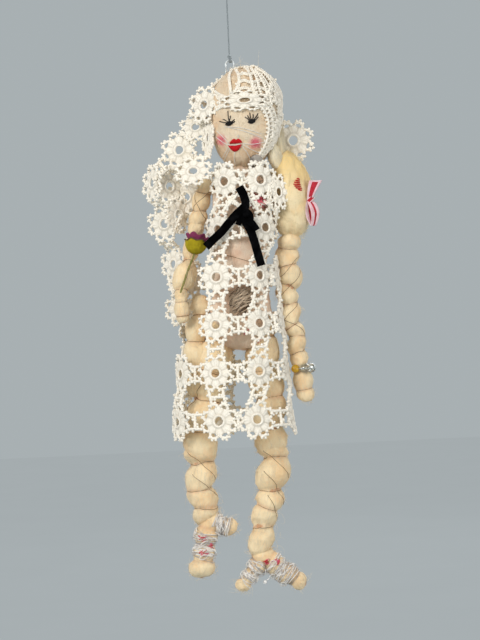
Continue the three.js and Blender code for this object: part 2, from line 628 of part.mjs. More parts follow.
// Right arm: close to the body under the veil, with a forearm that bends at the bound elbow
const rightOff = standOff(RIGHT_ELBOW_R);
const rightUpperEnd = toward(rightElbow, rightShoulder, rightOff);
const rightUpper = roll([[0, RIGHT_UPPER_R], [0.6, RIGHT_UPPER_R], [1, RIGHT_ELBOW_R]].map(([t, r]) =>
  ({ at: rightShoulder.clone().lerp(rightUpperEnd, t), r })), 8);
const rightWire = limbWire(rightShoulder, rightUpperEnd);
piece('right_upper_arm', solid(rightUpper).subtract(trunk(GAP))
  .subtract(wireBore([rightWire[0], rightElbow])), wool());
piece('right_upper_arm_wire', jointWire(rightWire[0], rightElbow, RIGHT_ELBOW_R), wire());
const rightForeStart = toward(rightElbow, rightWrist, rightOff);
const rightForeStations = bound({ from: rightForeStart, to: rightWrist, bulges: RIGHT_FORE_BULGES,
  start: RIGHT_FORE_R, end: RIGHT_FORE_R, startTie: RIGHT_ELBOW_R, endTie: 0.66 * RIGHT_FORE_R });
const rightForearm = (grow) => solid(roll(rightForeStations, 8, grow));
const rightFingers = rightWrist.clone().add(vec(RIGHT_HAND_RUN, 0, -RIGHT_HAND_LENGTH));
const rightForeWire = [toward(rightForeStart, rightWrist, 3), toward(rightWrist, rightForeStart, 1)];
const rightForeBore = wireBore([rightElbow, rightForeWire[1]]);
piece('right_forearm', rightForearm(0).subtract(rightForeBore), wool());
piece('right_forearm_wire', tube(rightForeWire, WIRE_D, 6, 1), wire());
piece('right_hand', handRoll(rightWrist, rightFingers, RIGHT_HAND_R).subtract(rightForearm(GAP)), wool());

// Flower tied to the right forearm: an olive cup, a mauve crown of petals and a stem down the wrist
const cupAt = rightElbow.clone().lerp(rightWrist, FLOWER_SHARE);
cupAt.add(vec(FLOWER_RUN, FLOWER_SEAT - RIGHT_FORE_R - CUP_D / 2, 0));
const cupProfile = [[0, 0], [0.28, 0.04], [0.62, 0.3], [0.95, 0.72], [1, 1], [0.86, 1], [0.55, 0.6],
  [0, 0.5]];
const cupCurve = cupProfile.map(([r, h]) => new THREE.Vector2((r * CUP_D) / 2, (h - 0.5) * CUP_HEIGHT));
const cup = new THREE.LatheGeometry(cupCurve, 12).rotateX(Math.PI / 2).translate(...cupAt.toArray());
const petals = [];
for (let k = 0; k < 24; k += 1) {
  const a = (2 * Math.PI * k) / 24;
  petals.push([a, 1 + 0.12 * Math.cos(6 * a)]);
}
const petalRing = ([r, h]) => petals.map(([a, wave]) => vec(r * CUP_D * wave * Math.cos(a),
  r * CUP_D * wave * Math.sin(a), h * CUP_HEIGHT));
const petalProfile = [[0.16, 0.2], [0.33, 0.48], [0.47, 0.98], [0.38, 1.02], [0.14, 0.7]];
const crown = skin(petalProfile.map(petalRing)).translate(...cupAt.toArray());
const cupRoom = new THREE.CylinderGeometry(CUP_D, CUP_D, CUP_HEIGHT + 2 * GAP).rotateX(Math.PI / 2)
  .translate(...cupAt.toArray());
piece('flower_cup', solid(cup).subtract(rightForearm(GAP)), finish(0xa59b28, 0.8));
piece('flower_petals', solid(crown).subtract(solid(cupRoom)), finish(0x783c55, 0.8));
const stemTop = cupAt.clone().add(vec(0, 0, -CUP_HEIGHT / 2 - GAP));
const stemEnd = rightWrist.clone().add(vec(0, -RIGHT_FORE_R - STEM_D / 2, STEM_RISE));
const stemBend = stemTop.clone().lerp(stemEnd, 0.3).add(vec(-1, 0, -1));
piece('flower_stem', solid(tube([stemTop, stemBend, stemEnd], STEM_D, 6, 8))
  .subtract(rightForearm(GAP)), finish(0x6e6e3c, 0.8));

// Legs: a thigh that swings under the skirt, a shin that folds back at the knee, and a wrapped foot
const legs = {
  left: { hip: leftHip, knee: leftKnee, length: LEFT_SHIN_LENGTH, run: LEFT_SHIN_RUN, ankle: LEFT_ANKLE_R,
    bulges: LEFT_SHIN_BULGES, foot: [[-18, -32, 0.76], [-11, -25, 0.78], [-4.5, -15.5, 0.9], [2, -8.5, 1.05],
      [13, -18, 1.1], [22, -26, 1.05], [30, -31, 0.9]] },
  right: { hip: rightHip, knee: rightKnee, length: RIGHT_SHIN_LENGTH, run: RIGHT_SHIN_RUN,
    ankle: RIGHT_ANKLE_R, bulges: RIGHT_SHIN_BULGES, foot: [[16, -6, 0.95], [8, -4.5, 0.92],
      [0.5, -9.5, 1.15], [-3.5, -19, 1.2], [-5, -30, 1.25], [-8.5, -39, 1.25]] },
};
const pinHead = leftKnee.clone().add(vec(-10.8, 0, -LEFT_SHIN_LENGTH - 27.4));
const pinTip = pinHead.clone().add(vec(8.4, 0, 7.6));
const pinBore = solid(tube([pinHead, toward(pinTip, pinHead, -BORE_GAP)], PIN_D + 2 * BORE_GAP, 6, 1));
for (const [side, leg] of Object.entries(legs)) {
  const kneeOff = standOff(KNEE_R);
  const thighEnd = toward(leg.knee, leg.hip, kneeOff);
  const thighWire = limbWire(leg.hip, thighEnd);
  piece(`${side}_thigh`, thigh(leg.hip, leg.knee).subtract(wireBore([thighWire[0], leg.knee])), wool());
  piece(`${side}_thigh_wire`, jointWire(thighWire[0], leg.knee, KNEE_R), wire());

  const ankle = leg.knee.clone().add(vec(leg.run, 0, -leg.length));
  const footAt = (grow) => leg.foot.map(([x, z, share]) =>
    ({ at: ankle.clone().add(vec(x, 0, z)), r: FOOT_R * share + grow }));
  const foot = (grow) => solid(roll(footAt(grow), 8));
  const wrapped = footAt(0).slice(1, -1);
  const path = wrapped.map((s) => s.at);
  const wrapRings = [WRAP + GAP, GAP].map((grow) => wrapped.map((s, i) => {
    const after = path[Math.min(i + 1, path.length - 1)];
    const along = after.clone().sub(path[Math.max(i - 1, 0)]).normalize();
    return ringAt(s.at, along, s.r + grow, s.r + grow, 8);
  }));
  const slipper = solid(skin([...wrapRings[0], ...wrapRings[1].reverse()], true));
  const shinStart = toward(leg.knee, ankle, kneeOff);
  const shin = solid(roll(bound({ from: shinStart, to: ankle, bulges: leg.bulges, start: SHIN_R,
    end: leg.ankle, startTie: KNEE_R, endTie: 0.8 * leg.ankle }), 8)).subtract(foot(WRAP + 2 * GAP));
  const shinWire = limbWire(shinStart, ankle);
  piece(`${side}_shin`, shin.subtract(wireBore([leg.knee, shinWire[1]])), wool());
  piece(`${side}_shin_wire`, tube(shinWire, WIRE_D, 6, 1), wire());
  piece(`${side}_foot`, foot(0).subtract(pinBore), wool());
  piece(`${side}_slipper`, slipper.subtract(foot(GAP * 0.9)).subtract(pinBore), gauze());
}
const pin = solid(tube([pinHead, pinTip], PIN_D, 6, 1)).add(solid(ball(pinHead, PIN_HEAD_D / 2)));
piece('shoe_pin', pin, finish(0xf2f0ea, 0.3));

// The sideways and upward directions in a motif's plane
function plane(face) {
  const right = vec(0, 0, 1).cross(face).normalize();
  return [right, face.clone().cross(right)];
}

// A point of a motif, which is bowed to the surface that it lies on
function onMotif({ at, face, bow }, x, y) {
  const [right, up] = plane(face);
  return at.clone().addScaledVector(right, x).addScaledVector(up, y)
    .addScaledVector(face, -bow[0] * x * x - bow[1] * y * y);
}

// Half a bar, from a motif towards another: its direction in the motif's plane and the sides of its end
function halfBar(m, other) {
  const [right, up] = plane(m.face);
  const way = other.at.clone().sub(m.at);
  const [x, y] = [way.dot(right), way.dot(up)];
  const angle = Math.atan2(y, x);
  const lean = [-(BAR_WIDTH / 2) * Math.sin(angle), (BAR_WIDTH / 2) * Math.cos(angle)];
  const ends = [-1, 1].map((side) => [x / 2 + side * lean[0], y / 2 + side * lean[1]]);
  return { angle, ends, corners: ends.map(([u, w]) => onMotif(m, u, w)) };
}

// Lace motif: a daisy with an open eye and a scalloped rim that runs on as a bar at each link
function motif(m) {
  const rim = [];
  for (let k = 0; k < 2 * MOTIF_LOBES; k += 1) {
    const a = (Math.PI * k) / MOTIF_LOBES;
    const beside = m.links.every((l) => Math.cos(l.angle - a) < Math.cos(radians(BAR_CLEAR)));
    const r = k % 2 ? MOTIF_R : MOTIF_NOTCH_R;
    if (beside) {
      rim.push({ x: r * Math.cos(a), y: r * Math.sin(a) });
    }
  }
  m.links.forEach((l) => l.ends.forEach(([x, y], k) =>
    rim.push({ x, y, corner: l.corners[k], out: l.out, link: l })));
  rim.sort((p, q) => Math.atan2(p.y, p.x) - Math.atan2(q.y, q.x));
  const eye = [];
  for (let k = 0; k < EYE_SIDES; k += 1) {
    const a = (-2 * Math.PI * k) / EYE_SIDES;
    eye.push({ x: MOTIF_EYE_R * Math.cos(a), y: MOTIF_EYE_R * Math.sin(a) });
  }
  const flat = (p) => new THREE.Vector2(p.x, p.y);
  const caps = THREE.ShapeUtils.triangulateShape(rim.map(flat), [eye.map(flat)]);
  const points = [1, -1].map((side) => [...rim, ...eye].map((p) => (p.corner ?? onMotif(m, p.x, p.y)).clone()
    .addScaledVector(p.out ?? m.face, (side * LACE) / 2)));
  const faces = [];
  caps.forEach(([i, j, k]) => {
    faces.push(points[0][i], points[0][j], points[0][k]);
    faces.push(points[1][i], points[1][k], points[1][j]);
  });
  const wall = (i, j) => {
    faces.push(points[1][i], points[1][j], points[0][j]);
    faces.push(points[1][i], points[0][j], points[0][i]);
  };
  rim.forEach((p, i) => {
    const j = (i + 1) % rim.length;
    if (!p.link || p.link !== rim[j].link) {
      wall(i, j);
    }
  });
  eye.forEach((p, i) => wall(rim.length + i, rim.length + ((i + 1) % EYE_SIDES)));
  return faces;
}

// Joins motifs into one piece of lace: the two halves of each bar share the corners where they meet
function laced(motifs, bars) {
  const made = motifs.map((m) => ({ ...m, links: [] }));
  bars.forEach(([a, b]) => {
    const halves = [halfBar(made[a], made[b]), halfBar(made[b], made[a])];
    const out = made[a].face.clone().add(made[b].face).normalize();
    const corners = [0, 1].map((k) => halves[0].corners[k].clone().lerp(halves[1].corners[1 - k], 0.5));
    made[a].links.push({ ...halves[0], out, corners });
    made[b].links.push({ ...halves[1], out, corners: [corners[1], corners[0]] });
  });
  const geometry = new THREE.BufferGeometry().setFromPoints(made.flatMap(motif));
  return solid(geometry);
}

// The angle on an ellipse at a share of the way round it, from the front
function angleAt(a, b, share) {
  const steps = 360;
  const lengths = [0];
  for (let k = 0; k < steps; k += 1) {
    const t = (2 * Math.PI * (k + 0.5)) / steps;
    lengths.push(lengths[k] + Math.hypot(a * Math.cos(t), b * Math.sin(t)));
  }
  const wanted = (share - Math.floor(share)) * lengths[steps];
  const k = lengths.findIndex((length) => length > wanted) - 1;
  return k + (wanted - lengths[k]) / (lengths[k + 1] - lengths[k]);
}

// Dress: daisies on rings round the body, the bodice open at the sides for the arms
const rowZ = (row) => chinZ - DRESS_DROP - row * ROW_PITCH;
function onRing(row, place) {
  const z = rowZ(row);
  const skirt = row - BODICE_ROWS;
  const inSkirt = skirt >= 0;
  const a = inSkirt ? HIP_WIDTH / 2 + SKIRT_EASE + skirt * SKIRT_FLARE : SHOULDER_WIDTH / 2 + BODICE_EASE;
  const b = inSkirt ? SKIRT_ROUND * a : TORSO_DEPTH / 2 + BODICE_EASE;
  const middle = bodyX(z) - (inSkirt ? SKIRT_SHIFT * (1 - 0.12 * skirt) : 0);
  const angle = radians(inSkirt ? angleAt(a, b, place) : place);
  const [s, c] = [Math.sin(angle), Math.cos(angle)];
  const lean = inSkirt ? SKIRT_FLARE / ROW_PITCH : 0;
  const face = vec(s / a, -c / b, 0).normalize().add(vec(0, 0, lean)).normalize();
  const curve = (a * b) / (a * a * c * c + b * b * s * s) ** 1.5;
  return { at: vec(middle + a * s, -b * c, z), face, bow: [curve / 2, 0] };
}
const rows = BODICE_ROWS + SKIRT_ROWS;
const bodiceAngle = (row) => BODICE_ANGLE + row * BODICE_SPREAD;
const column = (k, from = 0) => {
  const ring = [];
  for (let row = BODICE_ROWS + from; row < rows; row += 1) {
    ring.push(onRing(row, SKIRT_START + k / SKIRT_COLUMNS));
  }
  return ring;
};
const bodice = (turn) => {
  const ring = [];
  for (let row = 0; row < BODICE_ROWS; row += 1) {
    ring.push(onRing(row, turn(bodiceAngle(row))));
  }
  return ring;
};
const frontColumns = [column(-1, OPEN_ROWS), [...bodice((a) => -a), ...column(0)],
  [...bodice((a) => a), ...column(1)], column(2)];
const backColumns = [[...bodice((a) => 180 - a), ...column(3)], [...bodice((a) => 180 + a), ...column(4)],
  column(5)];

// Pairs of neighbours in columns that all end at the hem: down each column and across to the next
function netOf(columns) {
  const pairs = [];
  const first = columns.map((c, k) => columns.slice(0, k).reduce((sum, d) => sum + d.length, 0));
  columns.forEach((motifs, k) => {
    for (let i = 1; i < motifs.length; i += 1) {
      pairs.push([first[k] + i - 1, first[k] + i]);
    }
    const next = columns[k + 1] ?? [];
    for (let i = 1; i <= Math.min(motifs.length, next.length); i += 1) {
      pairs.push([first[k] + motifs.length - i, first[k + 1] + next.length - i]);
    }
  });
  return pairs;
}
const strap = (m, side) => {
  const top = m.at.clone().add(vec(0, 0, 0.6 * MOTIF_R));
  const rest = vec(m.at.x, (side * GAP) / 2, torsoTop - 0.03 * TORSO_LENGTH);
  return solid(band([top, rest], BAR_WIDTH, 0.8 * LACE, [vec(0, 0, 1)]));
};
const trunkClear = trunk(GAP);
function panel(columns, side) {
  const straps = columns.filter((c) => c.length > SKIRT_ROWS).map((c) => strap(c[0], side));
  return straps.reduce((body, s) => body.add(s), laced(columns.flat(), netOf(columns))).subtract(trunkClear);
}
piece('dress_front', panel(frontColumns, -1), lace());
piece('dress_back', panel(backColumns, 1), lace());

// Velvet ribbon tied in front of the bodice: a knot, an end that runs up and two tails
const ribbonY = -(TORSO_DEPTH / 2 + BODICE_EASE + LACE / 2 + GAP + RIBBON_KNOT / 2);
const knotAt = vec(KNOT_X, ribbonY, rowZ(1) + KNOT_RISE);
const ribbonKnot = (grow) => solid(new THREE.BoxGeometry(RIBBON_WIDTH + 2 * grow, RIBBON_KNOT + 2 * grow,
  1.2 * RIBBON_WIDTH + 2 * grow, 2, 2, 2).translate(...knotAt.toArray()));
function ribbonEnd(name, path) {
  const points = path.map(([x, y, z]) => knotAt.clone().add(vec(x, y, z)));
  const facing = vec(0, -1, 0);
  const strip = solid(band(points, RIBBON_WIDTH, RIBBON, [facing]));
  piece(name, strip.subtract(ribbonKnot(GAP)), velvet());
}
piece('ribbon_knot', ribbonKnot(0), velvet());
ribbonEnd('ribbon_upper_end', [[0, 0.6, 3], [-1.3, 0.6, 13.6], [-6.5, 0.6, 23.5]]);
ribbonEnd('ribbon_left_tail', [[-2, 0.6, 1], [-12, 0.2, -4.5], [-19.5, 0, -9.5], [-29, 0.2, -20.4]]);
ribbonEnd('ribbon_right_tail', [[0.5, 0.6, -3], [6.7, 0.4, -20.3], [11.4, 0.2, -39.7]]);

// Brooch: a domed silver button at the neck, behind the lace
const bodiceFront = (TORSO_DEPTH / 2 + BODICE_EASE) * Math.cos(radians(BODICE_ANGLE));
const broochAt = vec(BROOCH_X, LACE / 2 + 0.27 * BROOCH_D - bodiceFront, chinZ + BROOCH_RISE);
const broochProfile = [[0, 0], [0.5, 0], [0.5, 0.12], [0.36, 0.24], [0, 0.27]];
const broochDome = broochProfile.map(([r, h]) => new THREE.Vector2(r * BROOCH_D, h * BROOCH_D));
const brooch = new THREE.LatheGeometry(broochDome, 12).rotateX(Math.PI).translate(...broochAt.toArray());
piece('brooch', brooch, finish(0xb8b8b4, 0.3, 1));

// Tuft of golden-brown wool on the front of the waist, under the skirt
const tuftZ = rowZ(BODICE_ROWS) - TUFT_HEIGHT;
const tuftOutline = new THREE.Shape();
tuftOutline.absellipse(bodyX(tuftZ), tuftZ, TUFT_WIDTH / 2, TUFT_HEIGHT / 2, 0, 2 * Math.PI);
const tuftShell = trunk(GAP + TUFT_THICK).subtract(trunk(GAP));
piece('waist_tuft', tuftShell.intersect(ahead(tuftOutline, TORSO_DEPTH)), finish(0x9a7a48, 0.95));

// A place of the veil on the head: height as a share from the chin, and degrees round from the front
function onHead(t, degrees, off = VEIL_EASE) {
  const a = radians(degrees);
  const at = (u, b) => {
    const up = u > WIDEST_SHARE;
    const s = up ? (u - WIDEST_SHARE) / (1 - WIDEST_SHARE) : (WIDEST_SHARE - u) / WIDEST_SHARE;
    const share = (1 - s ** (up ? 2 : JAW_POWER)) ** (1 / (up ? 2 : JAW_POWER));
    return vec(mix(CHIN_X, CROWN_X, u) + (HEAD_WIDTH / 2) * share * Math.sin(b),
      -(HEAD_DEPTH / 2) * share * Math.cos(b), chinZ + u * HEAD_HEIGHT);
  };
  const step = 0.01;
  const middle = at(t, a);
  const face = at(t, a + step).sub(middle).cross(at(t + step, a).sub(middle)).normalize();
  const r = Math.hypot(middle.x - mix(CHIN_X, CROWN_X, t), middle.y);
  const round = t > WIDEST_SHARE ? 1 / HEAD_DEPTH : 0.5 / HEAD_HEIGHT;
  return { at: middle.addScaledVector(face, off), face, bow: [0.5 / Math.max(r, HEAD_DEPTH / 3), round] };
}
const loose = (x, y, z, facing) => ({ at: vec(x, y, z), face: vec(...facing).normalize(), bow: [0, 0] });

// Veil: daisies over the crown and round the face, with a fall down the doll's right side
const veilPlaces = {
  forehead: onHead(0.68, 4),
  rightTop: onHead(0.69, 68),
  rightFace: onHead(0.36, 75),
  leftFace: onHead(0.36, -78, 4),
  crown: onHead(0.93, 130),
  backRight: onHead(0.6, 140),
  backLeft: onHead(0.6, -140),
  nape: onHead(0.3, 180),
  left: loose(-22.2, -6, -35.5, [-0.8, -0.55, 0.25]),
  fall: loose(-43.8, 8, -70, [-0.3, -0.95, 0]),
  edge: loose(-66.9, 6, -95.4, [-0.9, -0.4, 0]),
  chest: loose(-34, -14, -89, [-0.45, -0.89, 0.05]),
  arm: loose(-39.1, 17, -107.7, [-0.2, -0.98, 0]),
  low: loose(-58.1, 10, -128.4, [-0.5, -0.86, 0]),
  tip: loose(-52.9, 19, -161, [-0.3, -0.95, 0]),
  shoulder: loose(49, 24, -67, [0.15, -0.98, 0.1]),
};
const veilLinks = [
  ['crown', 'forehead', 'rightTop', 'backRight', 'backLeft', 'left'],
  ['forehead', 'rightTop', 'left'],
  ['rightTop', 'rightFace', 'backRight'],
  ['left', 'leftFace', 'backLeft', 'fall'],
  ['chest', 'leftFace', 'arm'],
  ['fall', 'edge', 'arm'],
  ['low', 'edge', 'arm', 'tip'],
  ['nape', 'backRight', 'backLeft'],
  ['backRight', 'backLeft', 'shoulder'],
];
const veilNames = Object.keys(veilPlaces);
const veilNet = veilLinks.flatMap(([from, ...others]) => others.map((name) =>
  [veilNames.indexOf(from), veilNames.indexOf(name)]));
const veil = laced(Object.values(veilPlaces), veilNet).subtract(egg(GAP))
  .subtract(hookBore[0]).subtract(hookBore[1]);
piece('veil', veil, lace());

export default object.add(doll);
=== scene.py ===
"""Doily doll: wool bound with thread, crocheted daisy lace, velvet ribbon and small trims.

Shapes are worked out in the doll's millimetres, from the top of its wire hook, and set in
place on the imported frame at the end.
"""
import random
from math import atan2, cos, exp, floor, hypot, pi, radians, sin, sqrt

import bmesh
import bpy
from bpy.props import FloatProperty, FloatVectorProperty, PointerProperty
from mathutils import Matrix, Vector, noise
from mathutils.bvhtree import BVHTree


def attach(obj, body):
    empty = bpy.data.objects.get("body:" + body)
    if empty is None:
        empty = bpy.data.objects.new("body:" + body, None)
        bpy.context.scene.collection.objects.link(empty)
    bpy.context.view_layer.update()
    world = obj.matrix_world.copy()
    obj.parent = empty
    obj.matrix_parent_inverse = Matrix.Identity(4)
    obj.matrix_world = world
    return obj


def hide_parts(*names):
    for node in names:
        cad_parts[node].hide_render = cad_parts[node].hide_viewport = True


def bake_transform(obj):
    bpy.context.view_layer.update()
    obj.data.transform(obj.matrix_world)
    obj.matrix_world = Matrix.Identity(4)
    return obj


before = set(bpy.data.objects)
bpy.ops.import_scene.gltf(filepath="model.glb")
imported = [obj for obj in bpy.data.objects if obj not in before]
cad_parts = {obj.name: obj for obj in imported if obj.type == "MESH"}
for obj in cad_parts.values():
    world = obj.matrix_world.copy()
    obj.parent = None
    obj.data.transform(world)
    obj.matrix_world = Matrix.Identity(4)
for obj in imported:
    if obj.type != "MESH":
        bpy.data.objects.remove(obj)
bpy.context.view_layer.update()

bl_info = {
    "name": "Doily doll",
    "version": (1, 0, 0),
    "blender": (4, 5, 0),
    "location": "3D View > Sidebar > Doily doll",
    "description": "Wool, crocheted lace and trims of a hanging doily doll, piece by piece",
    "category": "Object",
}

MM = 0.001
HOOK_TOP = -68.85  # of the wire hook, under the inside top of the cord's loop
IN_PLACE = Matrix.Scale(MM, 4) @ Matrix.Translation((0, 0, HOOK_TOP))
TURN = 2 * pi
FRONT = -pi / 2  # angle round a hanging limb that faces the viewer
STRAIGHT = Vector((0, 0, 0))  # bend of a bar that has none

# Head, chin to crown
CHIN_Z = -88.5
HEAD_TALL = 81.0
HEAD_WIDE = 57.0
HEAD_DEEP = 54.0
CHIN_X = 6.5
CROWN_X = 12.5
WIDEST = 0.6  # height of the widest place, as a share from the chin
JAW = 2.1  # power of the curve below it
FOLDS_TOP = -73.0  # of the soft folds at the chin
FOLDS_FRONT = -4.0
FOLD_WIDE = 6.2

# Trunk and joints
TORSO_TOP = -90.5
TORSO_LONG = 142.0
BODY_LEAN = 0.06
NECK_X = 6.0
LEFT_WRIST = (45.03, 4, -249.5)
KNEES = {"left": (19.62, 0, -321.5), "right": (-37.38, 0, -321.5)}
KNEE_REACH = 9  # above and below a knee
SLEEVE_SPLIT = -112.0  # between the cap on the shoulder and the rest of the sleeve

# Bound wool
BULGE_POWER, BULGE_ROOT = 2.2, 0.455  # of the round outline of a bulge
RING_STEP = 1.3
END_RINGS = (0.03, 0.25, 0.7)  # from either end of a roll
TIE_OFF, CROSS_OFF = 0.25, 0.15  # of thread from the wool under it
LAID_REACH = 14.0  # of a fibre that lies on the wool
FINE_FIBRE = 0.18

# Lace
ARCHES = 8
RIBS = 24
ARCH_ROOT = 10.9  # from a daisy's middle to the feet of its arches
ARCH_POWER = 0.62
ROW_PITCH = 37.7
COLUMN_WIDE = 34.0
DRESS_TOP = -98.5
BODICE_ROWS = 2
BODICE_TURN = (30, 41)  # degrees of its daisies from the middle, row by row
BODICE_WIDE, BODICE_DEEP = 28.5, 23.5
SKIRT_ROWS = 4
SKIRT_COLUMNS = 7
SKIRT_WIDE, SKIRT_DEPTH = 37, 0.8  # half width at the waist, and depth as a share of it
SKIRT_SHIFT = 9  # to the right of the trunk, at the waist
FLARE = 3.2  # of the half width, row by row
OPEN_ROWS = 2
VEIL_FLAT = (0.128, 0.245)  # metres

# Cord and trims
PLY_SHARE, PLY_SPREAD = 0.54, 0.24  # thickness and distance of a ply, as shares of the cord
CORD_PITCH = 4.6
HOOK_BEND, HOOK_WIRE = 3.2, 0.7  # radii
RIBBON_KNOT = Vector((6.6, -26.1, -127.2))
RIBBON_THICK = 0.7
BOW_KNOT = Vector((58.6, -7.0, -115.4))
BOW_WIDE, BOW_THICK = 8.2, 0.6
FLOWER = Vector((-34.0, -12.9, -149.3))
PETALS = 6
BRACELET_REACH = 8.65
BEAD_HOLE = 0.72

# Stage, in metres
SENSOR = 24.0  # millimetres
CAMERA_LEAN = 2.7  # degrees
CAMERA_X, CAMERA_Z = -0.0014, -0.2774
LIT_PLACE = Vector((0, 0, -0.28))
FLOOR_Z = -0.62


def in_metres(point):
    """A point of the doll's millimetres in the shared frame."""
    return IN_PLACE @ Vector(point)


def linear(colour):
    """A written colour as the shader takes it."""
    def channel(c):
        return c / 12.92 if c <= 0.04045 else ((c + 0.055) / 1.055) ** 2.4
    return (*(channel(c) for c in colour), 1.0)


def mix(a, b, t):
    """A value at a share of the way from one to another."""
    return a + (b - a) * t


def smooth(t):
    """A share from 0 to 1 that eases in and out."""
    t = min(max(t, 0.0), 1.0)
    return t * t * (3 - 2 * t)


def polar(r, a):
    """Two coordinates at a radius and an angle."""
    return r * cos(a), r * sin(a)


# ---- finishes

class Strand:
    """A shader socket; sums and products with it add Math nodes."""

    def __init__(self, look, socket):
        self.look = look
        self.socket = socket

    def _math(self, operation, other):
        return self.look.node("ShaderNodeMath", {"operation": operation}, {0: self, 1: other})

    def __add__(self, other):
        return self._math("ADD", other)

    def __mul__(self, other):
        return self._math("MULTIPLY", other)

    __radd__ = __add__
    __rmul__ = __mul__


class Look:
    """Builds one material, or the world, out of nodes."""

    def __init__(self, owner):
        owner.use_nodes = True
        self.owner = owner
        self.tree = owner.node_tree
        self.tree.nodes.clear()

    def node(self, kind, settings, sockets, out=0):
        """Adds a node, its settings and its inputs, and gives one of its outputs."""
        made = self.tree.nodes.new(kind)
        for key, value in settings.items():
            setattr(made, key, value)
        for key, value in sockets.items():
            if isinstance(value, Strand):
                self.tree.links.new(value.socket, made.inputs[key])
            else:
                made.inputs[key].default_value = value
        return Strand(self, made.outputs[out]) if made.outputs else None

    def spot(self):
        """The place on the object, in its own metres."""
        return self.node("ShaderNodeTexCoord", {}, {}, "Object")

    def crease(self):
        """How deep in a hollow the surface lies, from 0 to 1, which the finishes use for painted
        shade.
        """
        return self.node("ShaderNodeAttribute", {"attribute_name": "crease"}, {}, "Fac")

    def cloud(self, scale, detail, rough, swirl=0.0):
        """Noise from 0 to 1 over the object's own metres, stretched by a scale on each axis."""
        stretch = scale if isinstance(scale, tuple) else (scale,) * 3
        place = self.node("ShaderNodeMapping", {}, {"Vector": self.spot(), "Scale": stretch})
        sockets = {"Vector": place, "Scale": 1.0, "Detail": detail, "Roughness": rough,
                   "Distortion": swirl}
        return self.node("ShaderNodeTexNoise", {}, sockets)

    def part(self, value, low, high):
        """A value as a smooth share between two limits."""
        sockets = {"Value": value, "From Min": low, "From Max": high}
        return self.node("ShaderNodeMapRange", {"interpolation_type": "SMOOTHSTEP"}, sockets)

    def blend(self, share, first, second):
        """One colour into another, each a written colour or a socket."""
        sockets = {0: share}
        for key, colour in ((6, first), (7, second)):
            sockets[key] = colour if isinstance(colour, Strand) else linear(colour)
        return self.node("ShaderNodeMix", {"data_type": "RGBA"}, sockets, 2)

    def raised(self, height, distance, strength):
        """A normal from a height in shares of a distance in millimetres."""
        sockets = {"Height": height, "Distance": distance * MM, "Strength": strength}
        return self.node("ShaderNodeBump", {}, sockets)

    def surface(self, colour, rough, specular=0.3, **others):
        """The finished material; other inputs are named with underscores for spaces."""
        sockets = {key.replace("_", " "): value for key, value in others.items()}
        sockets |= {"Base Color": colour, "Roughness": rough, "Specular IOR Level": specular}
        return self.done(self.node("ShaderNodeBsdfPrincipled", {}, sockets))

    def done(self, shader, kind="Material"):
        """Ends the nodes with a shader."""
        self.node(f"ShaderNodeOutput{kind}", {}, {"Surface": shader})
        return self.owner


def colours():
    return bpy.context.scene.doily_colours


def sizes():
    return bpy.context.scene.doily_sizes


def tint(colour, by):
    """A colour made lighter or darker by a factor, its hue kept."""
    by = min(by, 1 / max(colour))
    return tuple(c * by for c in colour)


def lighter(colour, share):
    """A colour moved towards white."""
    return tuple(mix(c, 1.0, share) for c in colour)


def wool(look, base, warm, cheeks=(), gilt=None):
    """Carded wool: streaks of fibre, soft clouds of colour and painted shade in the creases under
    the thread.
    """
    streaks = look.cloud((430, 430, 130), 8.0, 0.72, 2.2)
    clouds = look.cloud(58, 3.0, 0.5, 0.6)
    colour = look.blend(look.part(clouds, 0.38, 0.72), base, warm)
    colour = look.blend(look.part(streaks, 0.48, 0.72) * 0.6, colour, lighter(base, 0.4))
    colour = look.blend(look.part(streaks, 0.44, 0.26) * 0.5, colour, tint(warm, 0.88))
    # painted shade: the creases are tinted a darker tan, as shade falls in them
    colour = look.blend(look.crease() * 0.55, colour, (0.86, 0.65, 0.49))
    if gilt:
        low, high, gold = gilt
        height = look.node("ShaderNodeSeparateXYZ", {}, {0: look.spot()}, "Z")
        share = look.part(height + clouds * 0.02, low, high)
        colour = look.blend(share * 0.75, colour, gold)
    for place, reach, hue in cheeks:
        sockets = {0: look.spot(), 1: tuple(in_metres(place))}
        away = look.node("ShaderNodeVectorMath", {"operation": "DISTANCE"}, sockets, "Value")
        soft = away + streaks * (1.8 * MM)
        share = look.part(soft, reach * MM * 1.9, reach * MM * 0.4)
        colour = look.blend(share * 0.9, colour, hue)
    bumps = streaks * 0.8 + look.cloud(1100, 4.0, 0.7) * 0.4
    return look.surface(colour, look.part(streaks, -0.6, 0.7), 0.1, Sheen_Weight=0.15,
                        Sheen_Roughness=0.5, Normal=look.raised(bumps, 1.9, 0.85))


def cotton(look, base, dim, twist=1500):
    """Cotton yarn: fine twisted strands, with more shade in the hollows of the stitches."""
    plies = look.cloud((twist, twist, twist * 0.6), 3.0, 0.6)
    clouds = look.cloud(160, 3.0, 0.5)
    colour = look.blend(look.part(plies, 0.52, 0.3) * 0.6, base, dim)
    colour = look.blend(look.part(clouds, 0.5, 0.75) * 0.35, colour, tint(dim, 1.04))
    # painted shade: the hollows of the stitches are tinted darker
    colour = look.blend(look.crease() * 0.8, colour, tint(dim, 0.82))
    return look.surface(colour, look.part(plies, -1.2, 0.8), 0.15,
                        Normal=look.raised(plies, 0.5, 0.8), Sheen_Weight=0.08)


def thread(look, base):
    """Sewing thread or a lock of fibre, with a fine twist."""
    plies = look.cloud((1900, 1900, 1300), 2.0, 0.5)
    colour = look.blend(plies, tint(base, 0.78), tint(base, 1.18))
    return look.surface(colour, look.part(plies, -0.8, 1.2), Normal=look.raised(plies, 0.25, 0.7))


